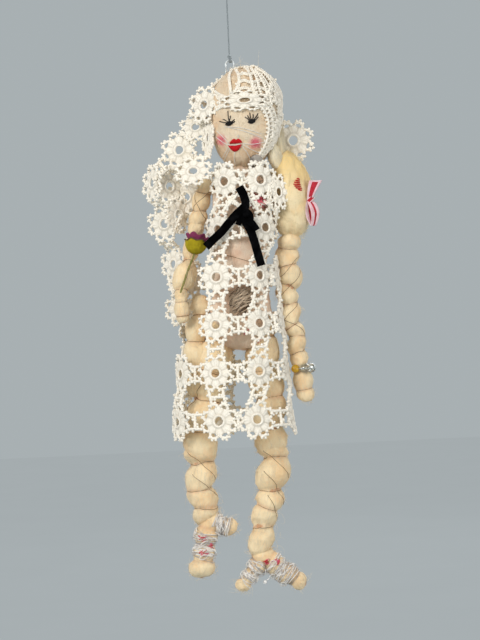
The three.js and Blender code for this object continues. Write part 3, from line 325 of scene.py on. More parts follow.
def pile(look, base, glow, sheen):
    """Cut pile, as on velvet and felt, with painted sheen: patches of the glow colour and specks
    lighter still.
    """
    nap = look.cloud(2600, 3.0, 0.7)
    brushed = look.cloud(170, 3.0, 0.6)
    # painted sheen: patches where brushed pile would catch the light
    colour = look.blend(look.part(brushed, 0.4, 0.75), base, glow)
    # painted highlight: fine lighter specks on the tips of the nap
    colour = look.blend(look.part(nap, 0.55, 0.8) * 0.35, colour, tint(glow, 1.25))
    return look.surface(colour, look.part(brushed, -2.0, 0.9), sheen * 0.5,
                        Normal=look.raised(nap, 0.35, 0.8), Sheen_Weight=sheen)


def satin(look, base, glow):
    """Woven ribbon with a soft shine along its threads, and painted sheen and shade in patches over
    its folds.
    """
    weave = look.cloud((2400, 2400, 700), 2.0, 0.5)
    folds = look.cloud(190, 2.0, 0.5)
    # painted sheen and shade: patches over the folds go towards the glow colour, lighter on the
    # crimson, darker on the pale edge
    colour = look.blend(look.part(folds, 0.35, 0.75), base, glow)
    colour = look.blend(weave * 0.25, colour, tint(base, 0.75))
    return look.surface(colour, look.part(weave, -0.7, 1.3), Normal=look.raised(weave, 0.25, 0.6),
                        Sheen_Weight=0.2)


def metal(look, base, rough, shine):
    """Plain metal with fine scratches and duller patches."""
    scratches = look.cloud((3200, 3200, 260), 3.0, 0.6)
    dull = look.cloud(240, 3.0, 0.6)
    colour = look.blend(look.part(dull, 0.4, 0.75), base, tint(base, 0.72))
    return look.surface(colour, look.part(dull, 0.1, 0.9) * 0.2 + rough, Metallic=shine,
                        Normal=look.raised(scratches, 0.08, 0.5))


def bead_glass(look, base, clear, rough=0.06):
    """Glass with faint cords in its colour."""
    cords = look.cloud((420, 420, 900), 3.0, 0.55)
    colour = look.blend(look.part(cords, 0.35, 0.7), base, tint(base, 0.82))
    return look.surface(colour, look.part(cords, 0.2, 0.9) * rough, 0.5, Transmission_Weight=clear,
                        IOR=1.5, Coat_Weight=0.3)


def backdrop(look, base):
    """Matt paper, evenly lit, a little uneven."""
    colour = look.blend(look.cloud(9, 2.0, 0.5) * 0.5, base, tint(base, 0.97))
    paper = look.node("ShaderNodeBsdfPrincipled", {}, {"Base Color": colour, "Roughness": 0.95})
    glow = look.node("ShaderNodeEmission", {}, {"Color": colour, "Strength": 1.0})
    seen = look.node("ShaderNodeLightPath", {}, {}, "Is Camera Ray")
    return look.done(look.node("ShaderNodeMixShader", {}, {0: seen * 0.94, 1: paper, 2: glow}))


def cheek_spots():
    """Middle, reach and colour of each cheek's blush."""
    pink = tuple(colours().cheeks)
    spots = ((-9.8, -65.8, 4.3), (17.4, -69.2, 4.5))
    return [((x, head_front(x, z), z), reach, pink) for x, z, reach in spots]


def recipes():
    """The kind of each finish, with its colours and other values."""
    own = colours()
    gilt = (-0.178, -0.142, (0.98, 0.84, 0.54))  # heights in metres that it runs between, and gold
    return {
        "cream_wool": (wool, own.wool, own.warm_wool),
        "face_wool": (wool, own.face, (0.90, 0.76, 0.60), cheek_spots()),
        "body_wool": (wool, own.body_wool, (0.92, 0.77, 0.65)),
        "golden_wool": (wool, own.golden_wool, (0.95, 0.83, 0.62), (), gilt),
        "hair_wool": (wool, (1.0, 0.95, 0.82), (1.0, 0.90, 0.69)),
        "pale_fibre": (thread, (1.0, 0.93, 0.80)),
        "golden_fibre": (thread, (0.95, 0.88, 0.69)),
        "hair_fibre": (thread, (1.0, 0.96, 0.86)),
        "tuft_fibre": (thread, (0.86, 0.78, 0.68)),
        "dark_fibre": (thread, (0.36, 0.28, 0.20)),
        "pink_fibre": (thread, (0.90, 0.40, 0.45)),
        "brown_thread": (thread, own.binding),
        "white_thread": (thread, (0.96, 0.95, 0.92)),
        "grey_thread": (thread, (0.72, 0.69, 0.67)),
        "black_thread": (thread, (0.085, 0.075, 0.075)),
        "red_thread": (thread, own.red),
        "pink_thread": (thread, (0.86, 0.38, 0.47)),
        "lace_cotton": (cotton, own.lace, own.lace_shade),
        "gauze": (cotton, (0.96, 0.94, 0.91), (0.74, 0.71, 0.68), 1100),
        "cord_cotton": (cotton, own.cord, tint(own.cord, 0.72)),
        # the second colour of velvet, ribbons and felts is their painted sheen, and painted shade
        # on the pale ribbon edge
        "velvet": (pile, (0.020, 0.020, 0.022), (0.070, 0.070, 0.075), 0.0),
        "crimson_ribbon": (satin, (0.68, 0.05, 0.13), (0.78, 0.13, 0.21)),
        "ribbon_edge": (satin, (0.93, 0.82, 0.83), (0.88, 0.66, 0.69)),
        "olive_felt": (pile, own.olive, tint(own.olive, 1.2), 0.02),
        "stem_felt": (pile, (0.48, 0.47, 0.27), (0.58, 0.55, 0.33), 0.02),
        "mauve_felt": (pile, own.mauve, tint(own.mauve, 1.25), 0.02),
        "steel_wire": (metal, (0.83, 0.85, 0.85), 0.35, 0.35),
        "silver": (metal, (0.62, 0.59, 0.55), 0.42, 0.5),
        "amber_glass": (bead_glass, (0.95, 0.74, 0.10), 0.4),
        "clear_glass": (bead_glass, (0.97, 0.98, 0.96), 0.95),
        "pin_white": (bead_glass, (0.95, 0.94, 0.92), 0.0, 0.3),
        "pale_paper": (backdrop, own.backdrop),
    }


def finish(name):
    """The named material, made the first time that it is asked for."""
    ready = bpy.data.materials.get(name + "_finish")
    if ready:
        return ready
    kind, *values = recipes()[name]
    return kind(Look(bpy.data.materials.new(name + "_finish")), *values)


# ---- making pieces

def piece(name, bm, looks, body, nodes=()):
    """Sets a bmesh of millimetres in place as a named object that rides on a body."""
    bm.transform(IN_PLACE)
    for face in bm.faces:
        face.smooth = True
    return mesh_piece(name, as_mesh(bm, name), looks, body, nodes)


def as_mesh(bm, name):
    """A bmesh as a mesh; the bmesh is freed."""
    mesh = bpy.data.meshes.new(name)
    bm.to_mesh(mesh)
    bm.free()
    return mesh


def mesh_piece(name, mesh, looks, body, nodes):
    """Makes a mesh a piece: its finishes and the nodes that it hides, and a body to move with; at a
    joint it is only set in place.
    """
    made = bpy.data.objects.new(name, mesh)
    bpy.context.collection.objects.link(made)
    for look in [looks] if isinstance(looks, str) else looks:
        mesh.materials.append(finish(look))
    if nodes:
        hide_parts(*nodes)
    if isinstance(body, str):
        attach(made, body)
    else:
        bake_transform(made)
    return made


def strands(name, lines, thick, look, body, nodes=(), taper=0.0, round_by=1):
    """Threads, fibres or plies along lines of points, as one piece."""
    curve = bpy.data.curves.new(name, "CURVE")
    curve.dimensions = "3D"
    curve.bevel_depth = thick * MM / 2
    curve.bevel_resolution = round_by
    curve.use_fill_caps = True
    for line in lines:
        spline = curve.splines.new("POLY")
        spline.points.add(len(line) - 1)
        for k, at in enumerate(line):
            spline.points[k].co = (*in_metres(at), 1)
            spline.points[k].radius = 1 - taper * k / (len(line) - 1)
    draft = bpy.data.objects.new(name + ".draft", curve)
    bpy.context.collection.objects.link(draft)
    shown = draft.evaluated_get(bpy.context.evaluated_depsgraph_get())
    mesh = bpy.data.meshes.new_from_object(shown)
    mesh.name = name
    bpy.data.objects.remove(draft)
    bm = bmesh.new()
    bm.from_mesh(mesh)
    bmesh.ops.remove_doubles(bm, verts=bm.verts, dist=1e-6)
    bmesh.ops.recalc_face_normals(bm, faces=bm.faces)
    for face in bm.faces:
        face.smooth = True
        face.material_index = 0
    bm.to_mesh(mesh)
    bm.free()
    mesh.materials.clear()
    return mesh_piece(name, mesh, look, body, nodes)


def fibre_strands(name, lines, thick, look, body, nodes=(), taper=0.6):
    """Loose wool: strands of few sides that thin towards their ends."""
    return strands(name, lines, thick, look, body, nodes, taper, 0)


def redress(node, look):
    """A better finish on a CAD node that keeps its own shape."""
    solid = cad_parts[node]
    if solid.material_slots:
        solid.material_slots[0].material = finish(look)
    else:
        solid.data.materials.append(finish(look))


def through(rows, count):
    """Rows of numbers at even steps along a smooth line through the given rows."""
    last = len(rows) - 1
    result = []
    for k in range(count):
        s = last * k / (count - 1)
        i = min(int(s), last - 1)
        u = s - i
        near = [rows[min(max(i + j, 0), last)] for j in (-1, 0, 1, 2)]
        result.append([
            q + 0.5 * u * (r - p + u * (2 * p - 5 * q + 4 * r - t + u * (3 * (q - r) + t - p)))
            for p, q, r, t in zip(*near)])
    return result


def cross_axes(along):
    """Two directions square to a path: sideways and in depth."""
    along = along.normalized()
    guide = Vector((0, 1, 0)) if abs(along.y) < 0.95 else Vector((1, 0, 0))
    across = guide.cross(along).normalized()
    return across, along.cross(across)


def ring_frame(centre, along, wide, deep):
    """Takes a flat circle of radius 1 to an oval across a path."""
    across, depth = cross_axes(along)
    turned = Matrix((across * wide, depth * deep, along.normalized())).transposed().to_4x4()
    return Matrix.Translation(centre) @ turned


def roll(bm, stations, sides):
    """A closed tube over stations of x, y, z, half width and half depth; returns its rings."""
    centres = [Vector(s[:3]) for s in stations]
    last = len(stations) - 1
    frames = []
    for i, (*_, wide, deep) in enumerate(stations):
        along = centres[min(i + 1, last)] - centres[max(i - 1, 0)]
        frames.append(ring_frame(centres[i], along, wide, deep))
    ring = bmesh.ops.create_circle(bm, segments=sides, radius=1, matrix=frames[0])["verts"]
    edges = list(dict.fromkeys(edge for vert in ring for edge in vert.link_edges))
    rings = [ring]
    ends = list(edges)
    for before, after in zip(frames, frames[1:]):
        grown = bmesh.ops.extrude_edge_only(bm, edges=edges)["geom"]
        ring = [part for part in grown if isinstance(part, bmesh.types.BMVert)]
        edges = [part for part in grown
                 if isinstance(part, bmesh.types.BMEdge) and part.is_boundary]
        bmesh.ops.transform(bm, matrix=after @ before.inverted(), verts=ring)
        rings.append(ring)
    bmesh.ops.holes_fill(bm, edges=ends + edges, sides=0)
    return rings


def tube(stations, sides):
    """A roll as a form of its own."""
    bm = bmesh.new()
    roll(bm, stations, sides)
    return outward(bm)


def join(bm, part):
    """Adds a part to a bmesh and frees it."""
    mesh = as_mesh(part, "part")
    bm.from_mesh(mesh)
    bpy.data.meshes.remove(mesh)


def outward(bm):
    """Turns all faces of a closed form outwards."""
    bmesh.ops.recalc_face_normals(bm, faces=bm.faces)
    bm.normal_update()
    return bm


def lumpy(bm, reach, grain, seed):
    """Moves a surface in and out by soft noise."""
    bm.normal_update()
    shift = Vector((seed * 7.3, seed * 3.1, seed * 5.7))
    for vert in bm.verts:
        vert.co += vert.normal * reach * noise.fractal(vert.co / grain + shift, 0.8, 2.0, 3)


def lathe(profile, steps):
    """A closed profile of radius and height, spun round the Z axis."""
    bm = bmesh.new()
    verts = [bm.verts.new((r, 0, h)) for r, h in profile]
    edges = [bm.edges.new((a, b)) for a, b in zip(verts, verts[1:] + verts[:1])]
    bmesh.ops.spin(bm, geom=verts + edges, axis=(0, 0, 1), cent=(0, 0, 0), steps=steps, angle=TURN,
                   use_merge=True)
    bmesh.ops.remove_doubles(bm, verts=bm.verts, dist=1e-4)
    return outward(bm)


def round_z(vert):
    """Radius and angle of a vert round the Z axis."""
    return hypot(vert.co.x, vert.co.y), atan2(vert.co.y, vert.co.x)


def widen(vert, by, rise):
    """Moves a vert out from the Z axis by a factor, and up."""
    vert.co.x *= by
    vert.co.y *= by
    vert.co.z += rise


def ribbon_strip(rows, width, thick, rows_long=28, across=6, edge=0.0, facing=(0, -1, 0),
                 slant=0.0, tipped=0.0):
    """A woven strip along rows of x, y, z and share of the width, with a facing of their own or
    one for all. Its edges and tip are in a second finish."""
    bm = bmesh.new()
    bmesh.ops.create_grid(bm, x_segments=rows_long, y_segments=across, size=0.5)
    for strip in bm.faces:
        middle = strip.calc_center_median()
        strip.material_index = int(abs(middle.y) > 0.5 - edge or middle.x > 0.5 - tipped)
    path = through(rows, rows_long + 1)
    for vert in bm.verts:
        k = min(max(round((vert.co.x + 0.5) * rows_long), 0), rows_long)
        row = path[k]
        before, after = path[max(k - 1, 0)], path[min(k + 1, rows_long)]
        along = (Vector(after[:3]) - Vector(before[:3])).normalized()
        face = Vector(row[4:7]) if len(row) > 6 else Vector(facing)
        side = along.cross(face).normalized() * (vert.co.y * width * row[3])
        vert.co = Vector(row[:3]) + side + along * (slant * vert.co.y * (k / rows_long) ** 2)
    bmesh.ops.recalc_face_normals(bm, faces=bm.faces)
    bmesh.ops.solidify(bm, geom=bm.faces[:], thickness=thick)
    return outward(bm)


def fuzz(bm, count, reach, seed):
    """Loose fibres that stand off a wool surface."""
    draw = random.Random(seed)
    bm.verts.index_update()
    faces = sorted(bm.faces, key=lambda face: sorted(vert.index for vert in face.verts))
    lines = []
    for _ in range(count):
        face = faces[draw.randrange(len(faces))]
        stray = Vector((draw.gauss(0, 1), draw.gauss(0, 1), draw.gauss(0, 1)))
        side = stray.cross(face.normal).normalized()
        far = reach * draw.uniform(0.35, 1.0)
        lift = draw.uniform(0.1, 0.75)
        curl = draw.uniform(-0.9, 0.9)
        start, rise = face.calc_center_median(), face.normal * lift
        bend = face.normal.cross(side) * curl
        lines.append([start + (side * u + rise * u * (1.3 - 0.7 * u) + bend * u * u) * far
                      for u in (0.0, 0.3, 0.65, 1.0)])
    return lines


class Skin:
    """The outer surface of a form, on which threads lie."""

    def __init__(self, bm):
        self.tree = BVHTree.FromBMesh(bm)

    def meet(self, start, way, off):
        """Where a line meets the surface, moved off it."""
        point, normal, _, _ = self.tree.ray_cast(Vector(start), Vector(way).normalized())
        if point is None:
            point, normal, _, _ = self.tree.find_nearest(Vector(start) + Vector(way))
        return point + normal * off

    def front(self, x, z, off):
        """The surface as seen from the front."""
        return self.meet((x, -90, z), (0, 1, 0), off)


class BoundWool:
    """Wool drawn into bulges by thread. Bulges are x, y, z, radius, half length, lean and turn."""

    def __init__(self, bulges, seed, core=0.72):
        self.bulges = bulges
        self.seed = seed
        self.core = core
        self.marks = [0.0]
        for a, b in zip(bulges, bulges[1:]):
            self.marks.append(self.marks[-1] + (Vector(b[:3]) - Vector(a[:3])).length)
        self.start = -bulges[0][4]
        self.end = self.marks[-1] + bulges[-1][4]

    def place(self, s):
        """The middle of the roll at a length along it."""
        marks, rows = self.marks, self.bulges
        i = max(k for k in range(len(marks) - 1) if k == 0 or marks[k] <= s)
        u = (s - marks[i]) / (marks[i + 1] - marks[i])
        a, b = Vector(rows[i][:3]), Vector(rows[i + 1][:3])
        if 0 <= u <= 1:
            before = Vector(rows[max(i - 1, 0)][:3])
            after = Vector(rows[min(i + 2, len(rows) - 1)][:3])
            ease = (b - before) * u * (1 - u) ** 2 * 0.5 - (after - a) * u * u * (1 - u) * 0.5
            return a + (b - a) * (u * u * (3 - 2 * u)) + ease
        return a + (b - a) * u

    def radius(self, s, a):
        """Radius at a length and angle, and how deep in a crease that is."""
        best = second = 0.0
        for mark, (*_, reach, half, lean, turn) in zip(self.marks, self.bulges):
            u = abs(s - mark - lean * sin(a + turn)) / half
            r = reach * (1 - u ** BULGE_POWER) ** BULGE_ROOT if u < 1 else 0.0
            best, second = (r, best) if r > best else (best, max(second, r))
        rest = max(min(s - self.start, self.end - s), 0)
        slim = min(row[3] for row in self.bulges)
        heart = self.core * slim * min(1.0, sqrt(rest / 9.0))
        crease = 0.0
        if second > 0 or heart > best:
            rise = (best - max(second, heart * 0.5)) / (0.5 * best + 1e-6)
            crease = (1 - min(1.0, rise)) ** 2
        best = max(best, heart)
        spot = Vector((cos(a) * 1.7, sin(a) * 1.7, s / 7 + self.seed * 9.1))
        rough = 1 + 0.09 * noise.noise(spot) + 0.035 * noise.noise(spot * 3.1)
        return best * rough, max(0.0, crease)

    def axes(self, s):
        """The middle at a length, and the directions sideways and in depth."""
        return self.place(s), *cross_axes(self.place(s + 0.5) - self.place(s - 0.5))

    def at(self, s, a, off):
        """A place on the surface, moved off it."""
        middle, across, depth = self.axes(s)
        r = self.radius(s, a)[0] + off
        return middle + across * (r * cos(a)) + depth * (r * sin(a))

    def model(self, sides):
        """The roll as a closed surface, with the depth of its creases kept as an attribute for
        painted shade.
        """
        long = self.end - self.start
        count = max(8, int(long / RING_STEP))
        inner = [RING_STEP + (long - 2 * RING_STEP) * k / count for k in range(count + 1)]
        spots = [*END_RINGS, *inner, *(long - u for u in reversed(END_RINGS))]
        bm = bmesh.new()
        creased = bm.verts.layers.float.new("crease")
        rings = roll(bm, [(*self.place(self.start + u), 1.0, 1.0) for u in spots], sides)
        for u, ring in zip(spots, rings):
            s = self.start + u
            middle, across, depth = self.axes(s)
            for vert in ring:
                off = vert.co - middle
                a = atan2(off.dot(depth), off.dot(across))
                # painted shade: how deep each point lies in a crease, for the finish to tint it
                # darker
                r, vert[creased] = self.radius(s, a)
                vert.co = middle + across * (r * cos(a)) + depth * (r * sin(a))
        return outward(bm)

    def ties(self):
        """A turn of thread in the crease after each bulge but the last."""
        count, steps = 30, 14
        turns = [TURN * j / count for j in range(count + 1)]
        lines = []
        for low, high in zip(self.marks, self.marks[1:]):
            spots = [low + (high - low) * u / steps for u in range(1, steps)]
            deepest = [min(spots, key=lambda s: self.radius(s, a)[0]) for a in turns]
            eased = [sum(deepest[(j + d) % count] for d in (-2, -1, 0, 1, 2)) / 5
                     for j in range(count + 1)]
            lines.append([self.at(s, a, TIE_OFF) for s, a in zip(eased, turns)])
        return lines

    def crossing(self, s0, a0, s1, a1):
        """A thread that runs over the bulges from one place to another."""
        return [self.at(mix(s0, s1, k / 16), mix(a0, a1, k / 16), CROSS_OFF) for k in range(17)]

    def laid(self, count, seed):
        """Fibres of wool that lie along the surface."""
        draw = random.Random(seed)
        lines = []
        for _ in range(count):
            s = draw.uniform(self.start + 2, self.end - 2 - LAID_REACH * 0.4)
            a = draw.uniform(0, TURN)
            drift = draw.uniform(-0.5, 0.5)
            far = min(LAID_REACH * draw.uniform(0.5, 1.2), self.end - 1.5 - s)
            lines.append([self.at(s + far * u / 7, a + drift * u / 7,
                                  0.12 * sin(pi * u / 7) - 0.05) for u in range(8)])
        return lines


def bound_piece(name, form, body, nodes, sides=30, fibres=60, hairs=90, threads=(), fold=None,
                look="cream_wool"):
    """One bound roll: its wool, the thread that binds it and its loose fibres."""
    bm = form.model(sides)
    if fold:
        join(bm, fold.model(sides))
    stray = fuzz(bm, 2 * hairs, 8.0, form.seed + 11) + form.laid(3 * fibres, form.seed + 5)
    wool_piece = piece(name, bm, look, body, nodes)
    strands(name + "_binding", form.ties() + list(threads), sizes().binding_thread / MM,
            "brown_thread", body)
    fibre_strands(name + "_fibres", stray, sizes().fibre / MM, "pale_fibre", body,
                  taper=0.7)


# ---- head and face

def head_share(t):
    """Width of the head as a share of its widest place; heights are shares from the chin."""
    s = (t - WIDEST) / (1 - WIDEST) if t > WIDEST else (WIDEST - t) / WIDEST
    power = 2 if t > WIDEST else JAW
    return max(0.0, 1 - min(1.0, s) ** power) ** (1 / power)


def head_x(t):
    """The middle of the head at a height."""
    return mix(CHIN_X, CROWN_X, t)


def head_front(x, z):
    """How far forward the face is at a place seen from the front."""
    t = (z - CHIN_Z) / HEAD_TALL
    share = head_share(t)
    away = (x - head_x(t)) / (HEAD_WIDE / 2 * share)
    return -HEAD_DEEP / 2 * share * sqrt(max(0.0, 1 - away * away))


def on_head(t, degrees, off=1.5):
    """A daisy's place on the head: height as a share from the chin, and degrees from the front."""
    def at(u, b):
        share = head_share(u)
        return Vector((head_x(u) + HEAD_WIDE / 2 * share * sin(b),
                       -HEAD_DEEP / 2 * share * cos(b), CHIN_Z + u * HEAD_TALL))
    a = radians(degrees)
    middle = at(t, a)
    face = (at(t, a + 0.01) - middle).cross(at(t + 0.01, a) - middle).normalized()
    r = hypot(middle.x - head_x(t), middle.y)
    rise = 1 / HEAD_DEEP if t > WIDEST else 0.5 / HEAD_TALL
    return middle + face * off, face, (0.5 / max(r, HEAD_DEEP / 3), rise), (1.0, 1.0)


def head_form():
    """The egg of the head, with soft folds that run from the chin to the lips."""
    rows = 56
    stations = []
    for i in range(rows):
        t = 0.5 - 0.5 * cos(pi * (i + 0.2) / (rows - 0.6))
        share = head_share(t)
        stations.append((head_x(t), 0, CHIN_Z + t * HEAD_TALL,
                         HEAD_WIDE / 2 * share, HEAD_DEEP / 2 * share))
    bm = tube(stations, 72)
    lumpy(bm, 0.7, 13.0, 3)
    creased = bm.verts.layers.float.new("crease")
    for vert in bm.verts:
        x, y, z = vert.co
        if y < FOLDS_FRONT and z < FOLDS_TOP:
            drawn = smooth((FOLDS_TOP - z) / 6) * smooth((FOLDS_FRONT - y) / 8)
            fold = 0.5 + 0.5 * cos(TURN * (x - 5.0 + 0.1 * (z + 80)) / FOLD_WIDE)
            vert.co += vert.normal * (0.45 - 0.8 * fold ** 3) * drawn
            # painted shade: the hollows of the chin folds are marked to be tinted darker
            vert[creased] = 0.3 * drawn * fold ** 4
    return outward(bm)


class DOILY_OT_head(bpy.types.Operator):
    """Egg of carded wool with its neck and flyaway fibres"""
    bl_idname = "doily_doll.head"
    bl_label = "Head and neck"

    def execute(self, context):
        bm = head_form()
        stray = fuzz(bm, 420, 9.0, 41)
        for k in range(7):
            start = Vector((12 + 3.1 * k - 8, -4 + 2.0 * (k % 3), -8.5))
            bend = Vector((sin(k * 2.1) * 9, cos(k * 1.7) * 3, 9 + 5 * sin(k * 1.3)))
            curl = Vector((cos(k * 2.9) * 8, 0, -4 * (k % 2)))
            stray.append([start + bend * u + curl * u * u for u in (0, 0.2, 0.4, 0.6, 0.8, 1)])
        head = piece("head_wool", bm, "face_wool", "body", ["head"])
        fibre_strands("head_fibres", stray, 0.16, "pale_fibre", "body")
        bulges = ((NECK_X, 0, -80, 9.2, 11, 0.5, 0), (NECK_X, 0, -91, 9.0, 9, 0.4, 2),
                  (NECK_X, 0, -101, 10.0, 9, 0.4, 4))
        bound_piece("neck_wool", BoundWool(bulges, 2), "body", ["neck"], 24, 20, 20,
                    look="body_wool")
        return {"FINISHED"}


EYES = {  # the middle of each eye, and its lashes from there, as x and z
    "right_eye": ((-2.5, -53), (
        ((0.2, 0.8), (-0.5, 4), (-0.6, 9.6)), ((-0.4, 1.2), (0.9, 3.4), (1.3, 5.6)),
        ((-1.6, 0.4), (-4.2, 0.9), (-7.6, 2.2)), ((-1.2, 1.1), (-3, 2.6), (-4.8, 3.4)),
        ((1.6, 0.4), (2.9, 1.5), (4.4, 2.6)), ((1.5, -0.3), (3.2, 0.2), (4.6, 1.1)))),
    "left_eye": ((15.2, -52.4), (
        ((-0.4, 1.4), (-1, 3.6), (-1.3, 6.6)), ((0.6, 1.2), (1.3, 3.2), (1.2, 5.4)),
        ((1.4, 0.6), (3.4, 3), (5.2, 5.8)), ((1.8, -0.2), (3.6, 1.4), (5.4, 3.2)),
        ((-1.6, 0.4), (-3.4, 2), (-5.2, 3.4)), ((-1.2, 1), (-2.4, 3), (-3.2, 4.4)))),
}
FACE_THREADS = (  # over the cheeks and from the lips, as x and z
    ((-6.5, -55.4), (6, -57), (22.6, -62.6)), ((-4, -55.8), (9, -60), (23.5, -66)),
    ((-3.6, -71), (-7, -76), (-10.7, -81)), ((-2.6, -72), (-6, -78), (-8.7, -83.6)),
    ((7.8, -69.4), (15, -70), (26, -68.4)), ((7.6, -70.4), (14, -74), (22.4, -77.6)),
    ((7, -71.6), (11, -77), (14, -83)), ((-12.5, -58), (-5, -66), (-3.6, -70)),
    ((-14, -62), (-4, -69.4), (7.5, -69.6)), ((1, -75.2), (0.4, -80), (1.2, -86)),
)


def on_face(skin, points, off=0.3, count=8):
    """A stitch over the face through two points of x and z, or more."""
    last = count - 1
    if len(points) > 2:
        flat = through(points, count)
    else:
        flat = [[mix(a, b, k / last) for a, b in zip(*points)] for k in range(count)]
    return [skin.front(x, z, off * (0.35 + 0.65 * sin(pi * k / last)))
            for k, (x, z) in enumerate(flat)]


def eye_stitches(skin, x, z, lashes):
    """The lashes of an eye, the upright stitches that fill it and three across them."""
    stitches = [on_face(skin, [(x + u, z + w) for u, w in lash]) for lash in lashes]
    for k in range(9):
        u = -2.5 + 5.0 * k / 8
        half = 2.1 * sqrt(max(0.05, 1 - (u / 2.9) ** 2))
        ends = [(x + u - 0.5, z - half + 0.2 * (k % 2)), (x + u * 0.9 + 0.4, z + half * 0.75)]
        stitches.append(on_face(skin, ends, 0.55, 5))
    for k in range(3):
        ends = [(x - 2.6, z - 0.9 + 0.7 * k), (x + 2.6, z - 0.6 + 0.8 * k)]
        stitches.append(on_face(skin, ends, 0.8, 6))
    return stitches


def lip_stitches(skin):
    """Upright stitches of the upper lip, with its dip, and of the lower lip."""
    stitches = []
    for k in range(15):
        u = k / 14
        x = mix(-2.2, 6.5, u)
        dip = 1.3 * exp(-((u - 0.52) / 0.12) ** 2)
        top = -67.6 + 2.6 * sin(pi * u) ** 0.8 - dip
        stitches.append(on_face(skin, [(x, top), (x - 0.15, -69.0 + 0.5 * abs(u - 0.5))], 0.75, 6))
    for k in range(19):
        u = k / 18
        x = mix(-3.8, 6.2, u)
        low = -70.8 - 4.2 * sin(pi * u) ** 0.75
        ends = [(x, -70.3 + 0.5 * cos(TURN * u)), (mix(x, 1.4, 0.14), low)]
        stitches.append(on_face(skin, ends, 0.85, 6))
    return stitches


def cheek_stitches(skin):
    """Short slanting stitches that colour the cheeks."""
    draw = random.Random(8)
    stitches = []
    for (x, _, z), reach, _ in cheek_spots():
        for _ in range(16):
            u, w = draw.uniform(-0.7, 0.7), draw.uniform(-0.7, 0.7)
            lean = draw.choice((-1, 1)) * draw.uniform(0.6, 1.1)
            ends = [(x + reach * u - 0.9, z + reach * w - lean),
                    (x + reach * u + 0.9, z + reach * w + lean)]
            stitches.append(on_face(skin, ends, 0.18, 4))
    return stitches


class DOILY_OT_face(bpy.types.Operator):
    """Embroidered eyes with lashes, stitched lips and cheeks, and fine threads over the face"""
    bl_idname = "doily_doll.face"
    bl_label = "Face"

    def execute(self, context):
        bm = head_form()
        skin = Skin(bm)
        bm.free()
        for name, ((x, z), lashes) in EYES.items():
            strands(name + "_stitches", eye_stitches(skin, x, z, lashes), 0.75, "black_thread",
                    "body", [name])
        strands("lip_stitches", lip_stitches(skin), 0.85, "red_thread", "body",
                ["lips"])
        webs = [on_face(skin, points, 0.9, 18) for points in FACE_THREADS]
        strands("face_threads", webs, 0.5, "white_thread", "body")
        strands("cheek_stitches", cheek_stitches(skin), 0.24, "pink_thread", "body")
        return {"FINISHED"}


HAIR_LOCKS = (  # x, y, z and radius
    ((29.5, 1, -24, 2), (33.2, 0, -40, 3.4), (35.2, 0, -56, 4.4), (36.2, 2, -70, 5.2),
     (37, 4, -84, 5)),
    ((28.5, 10, -30, 1.6), (31.5, 12, -46, 3.2), (33.5, 12.5, -62, 4.2), (35.5, 11, -78, 3.8),
     (37, 9, -90, 2.4)),
    ((28, -2, -66, 2.6), (31, -3, -74, 4.6), (33.5, -2, -82, 5.8), (35.5, 1, -89, 4.6)),
)
LOCK_ENDS = (0.25, 0.6, 0.85, *(1.0,) * 16, 0.8, 0.5, 0.2)  # shares of the radius along a lock


class DOILY_OT_hair(bpy.types.Operator):
    """Pale golden wool that falls from under the lace beside the left cheek"""
    bl_idname = "doily_doll.hair"
    bl_label = "Hair"

    def execute(self, context):
        draw = random.Random(17)
        bm = bmesh.new()
        lines = []
        for rows in HAIR_LOCKS:
            path = through(rows, len(LOCK_ENDS))
            roll(bm, [(x, y, z, r * u, r * u) for (x, y, z, r), u in zip(path, LOCK_ENDS)], 16)
            path = through(rows, 12)
            for _ in range(110):
                a, off = draw.uniform(0, TURN), draw.uniform(0.0, 0.9)
                drift = draw.uniform(-0.06, 0.1)
                line = []
                for k, (x, y, z, r) in enumerate(path):
                    right, back = polar(r + off, a + k * drift)
                    line.append(Vector((x + right, y + back, z)))
                lines.append(line)
        outward(bm)
        lumpy(bm, 0.8, 9.0, 6)
        lines += fuzz(bm, 160, 8.0, 19)
        lock = piece("hair_wool", bm, "hair_wool", "body", ["hair_lock"])
        fibre_strands("hair_strands", lines, 0.22, "hair_fibre", "body", taper=0.5)
        return {"FINISHED"}


# ---- trunk and limbs

TORSO_SHAPE = (  # share of the length from the top, width and depth
    (0.0, 15, 11), (0.05, 35, 25.5), (0.13, 46, 34), (0.3, 44.6, 36), (0.55, 41, 34.5),
    (0.78, 50, 37.4), (0.9, 47, 36), (0.97, 35, 27), (1.0, 14, 11),
)
TORSO_TIES = ((-128, 4), (-160, -5), (-184, 3), (-206, -3))  # height and lean
TIE_HALF = 4  # half the width of the crease that a tie draws in


def body_x(z):
    """The middle of the trunk at a height."""
    return NECK_X + (z - TORSO_TOP) * BODY_LEAN


def torso_form():
    """The trunk, drawn in under its ties."""
    rows = []
    for share, wide, deep in TORSO_SHAPE:
        z = TORSO_TOP - share * TORSO_LONG
        rows.append((body_x(z), 0, z, wide / 2, deep / 2))
    bm = tube(through(rows, 70), 48)
    lumpy(bm, 1.1, 16.0, 1)
    lumpy(bm, 0.45, 4.0, 2)
    creased = bm.verts.layers.float.new("crease")
    for vert in bm.verts:
        for z, lean in TORSO_TIES:
            away = abs(vert.co.z - z - lean * vert.co.x / 20)
            if away < TIE_HALF:
                depth = (1 - away / TIE_HALF) ** 2
                vert.co -= vert.normal * 1.6 * depth
                # painted shade: the creases under the ties are marked to be tinted darker
                vert[creased] = max(vert[creased], depth)
    return outward(bm)


def torso_tie(skin, z, lean):
    """A turn of thread round the trunk."""
    x = body_x(z)
    ring = []
    for k in range(41):
        way = Vector((*polar(1, TURN * k / 40), 0))
        high = z + lean * (x + 22 * cos(TURN * k / 40)) / 20
        ring.append(skin.meet(Vector((x, 0, high)) + way * 60, -way, 0.2))
    return ring


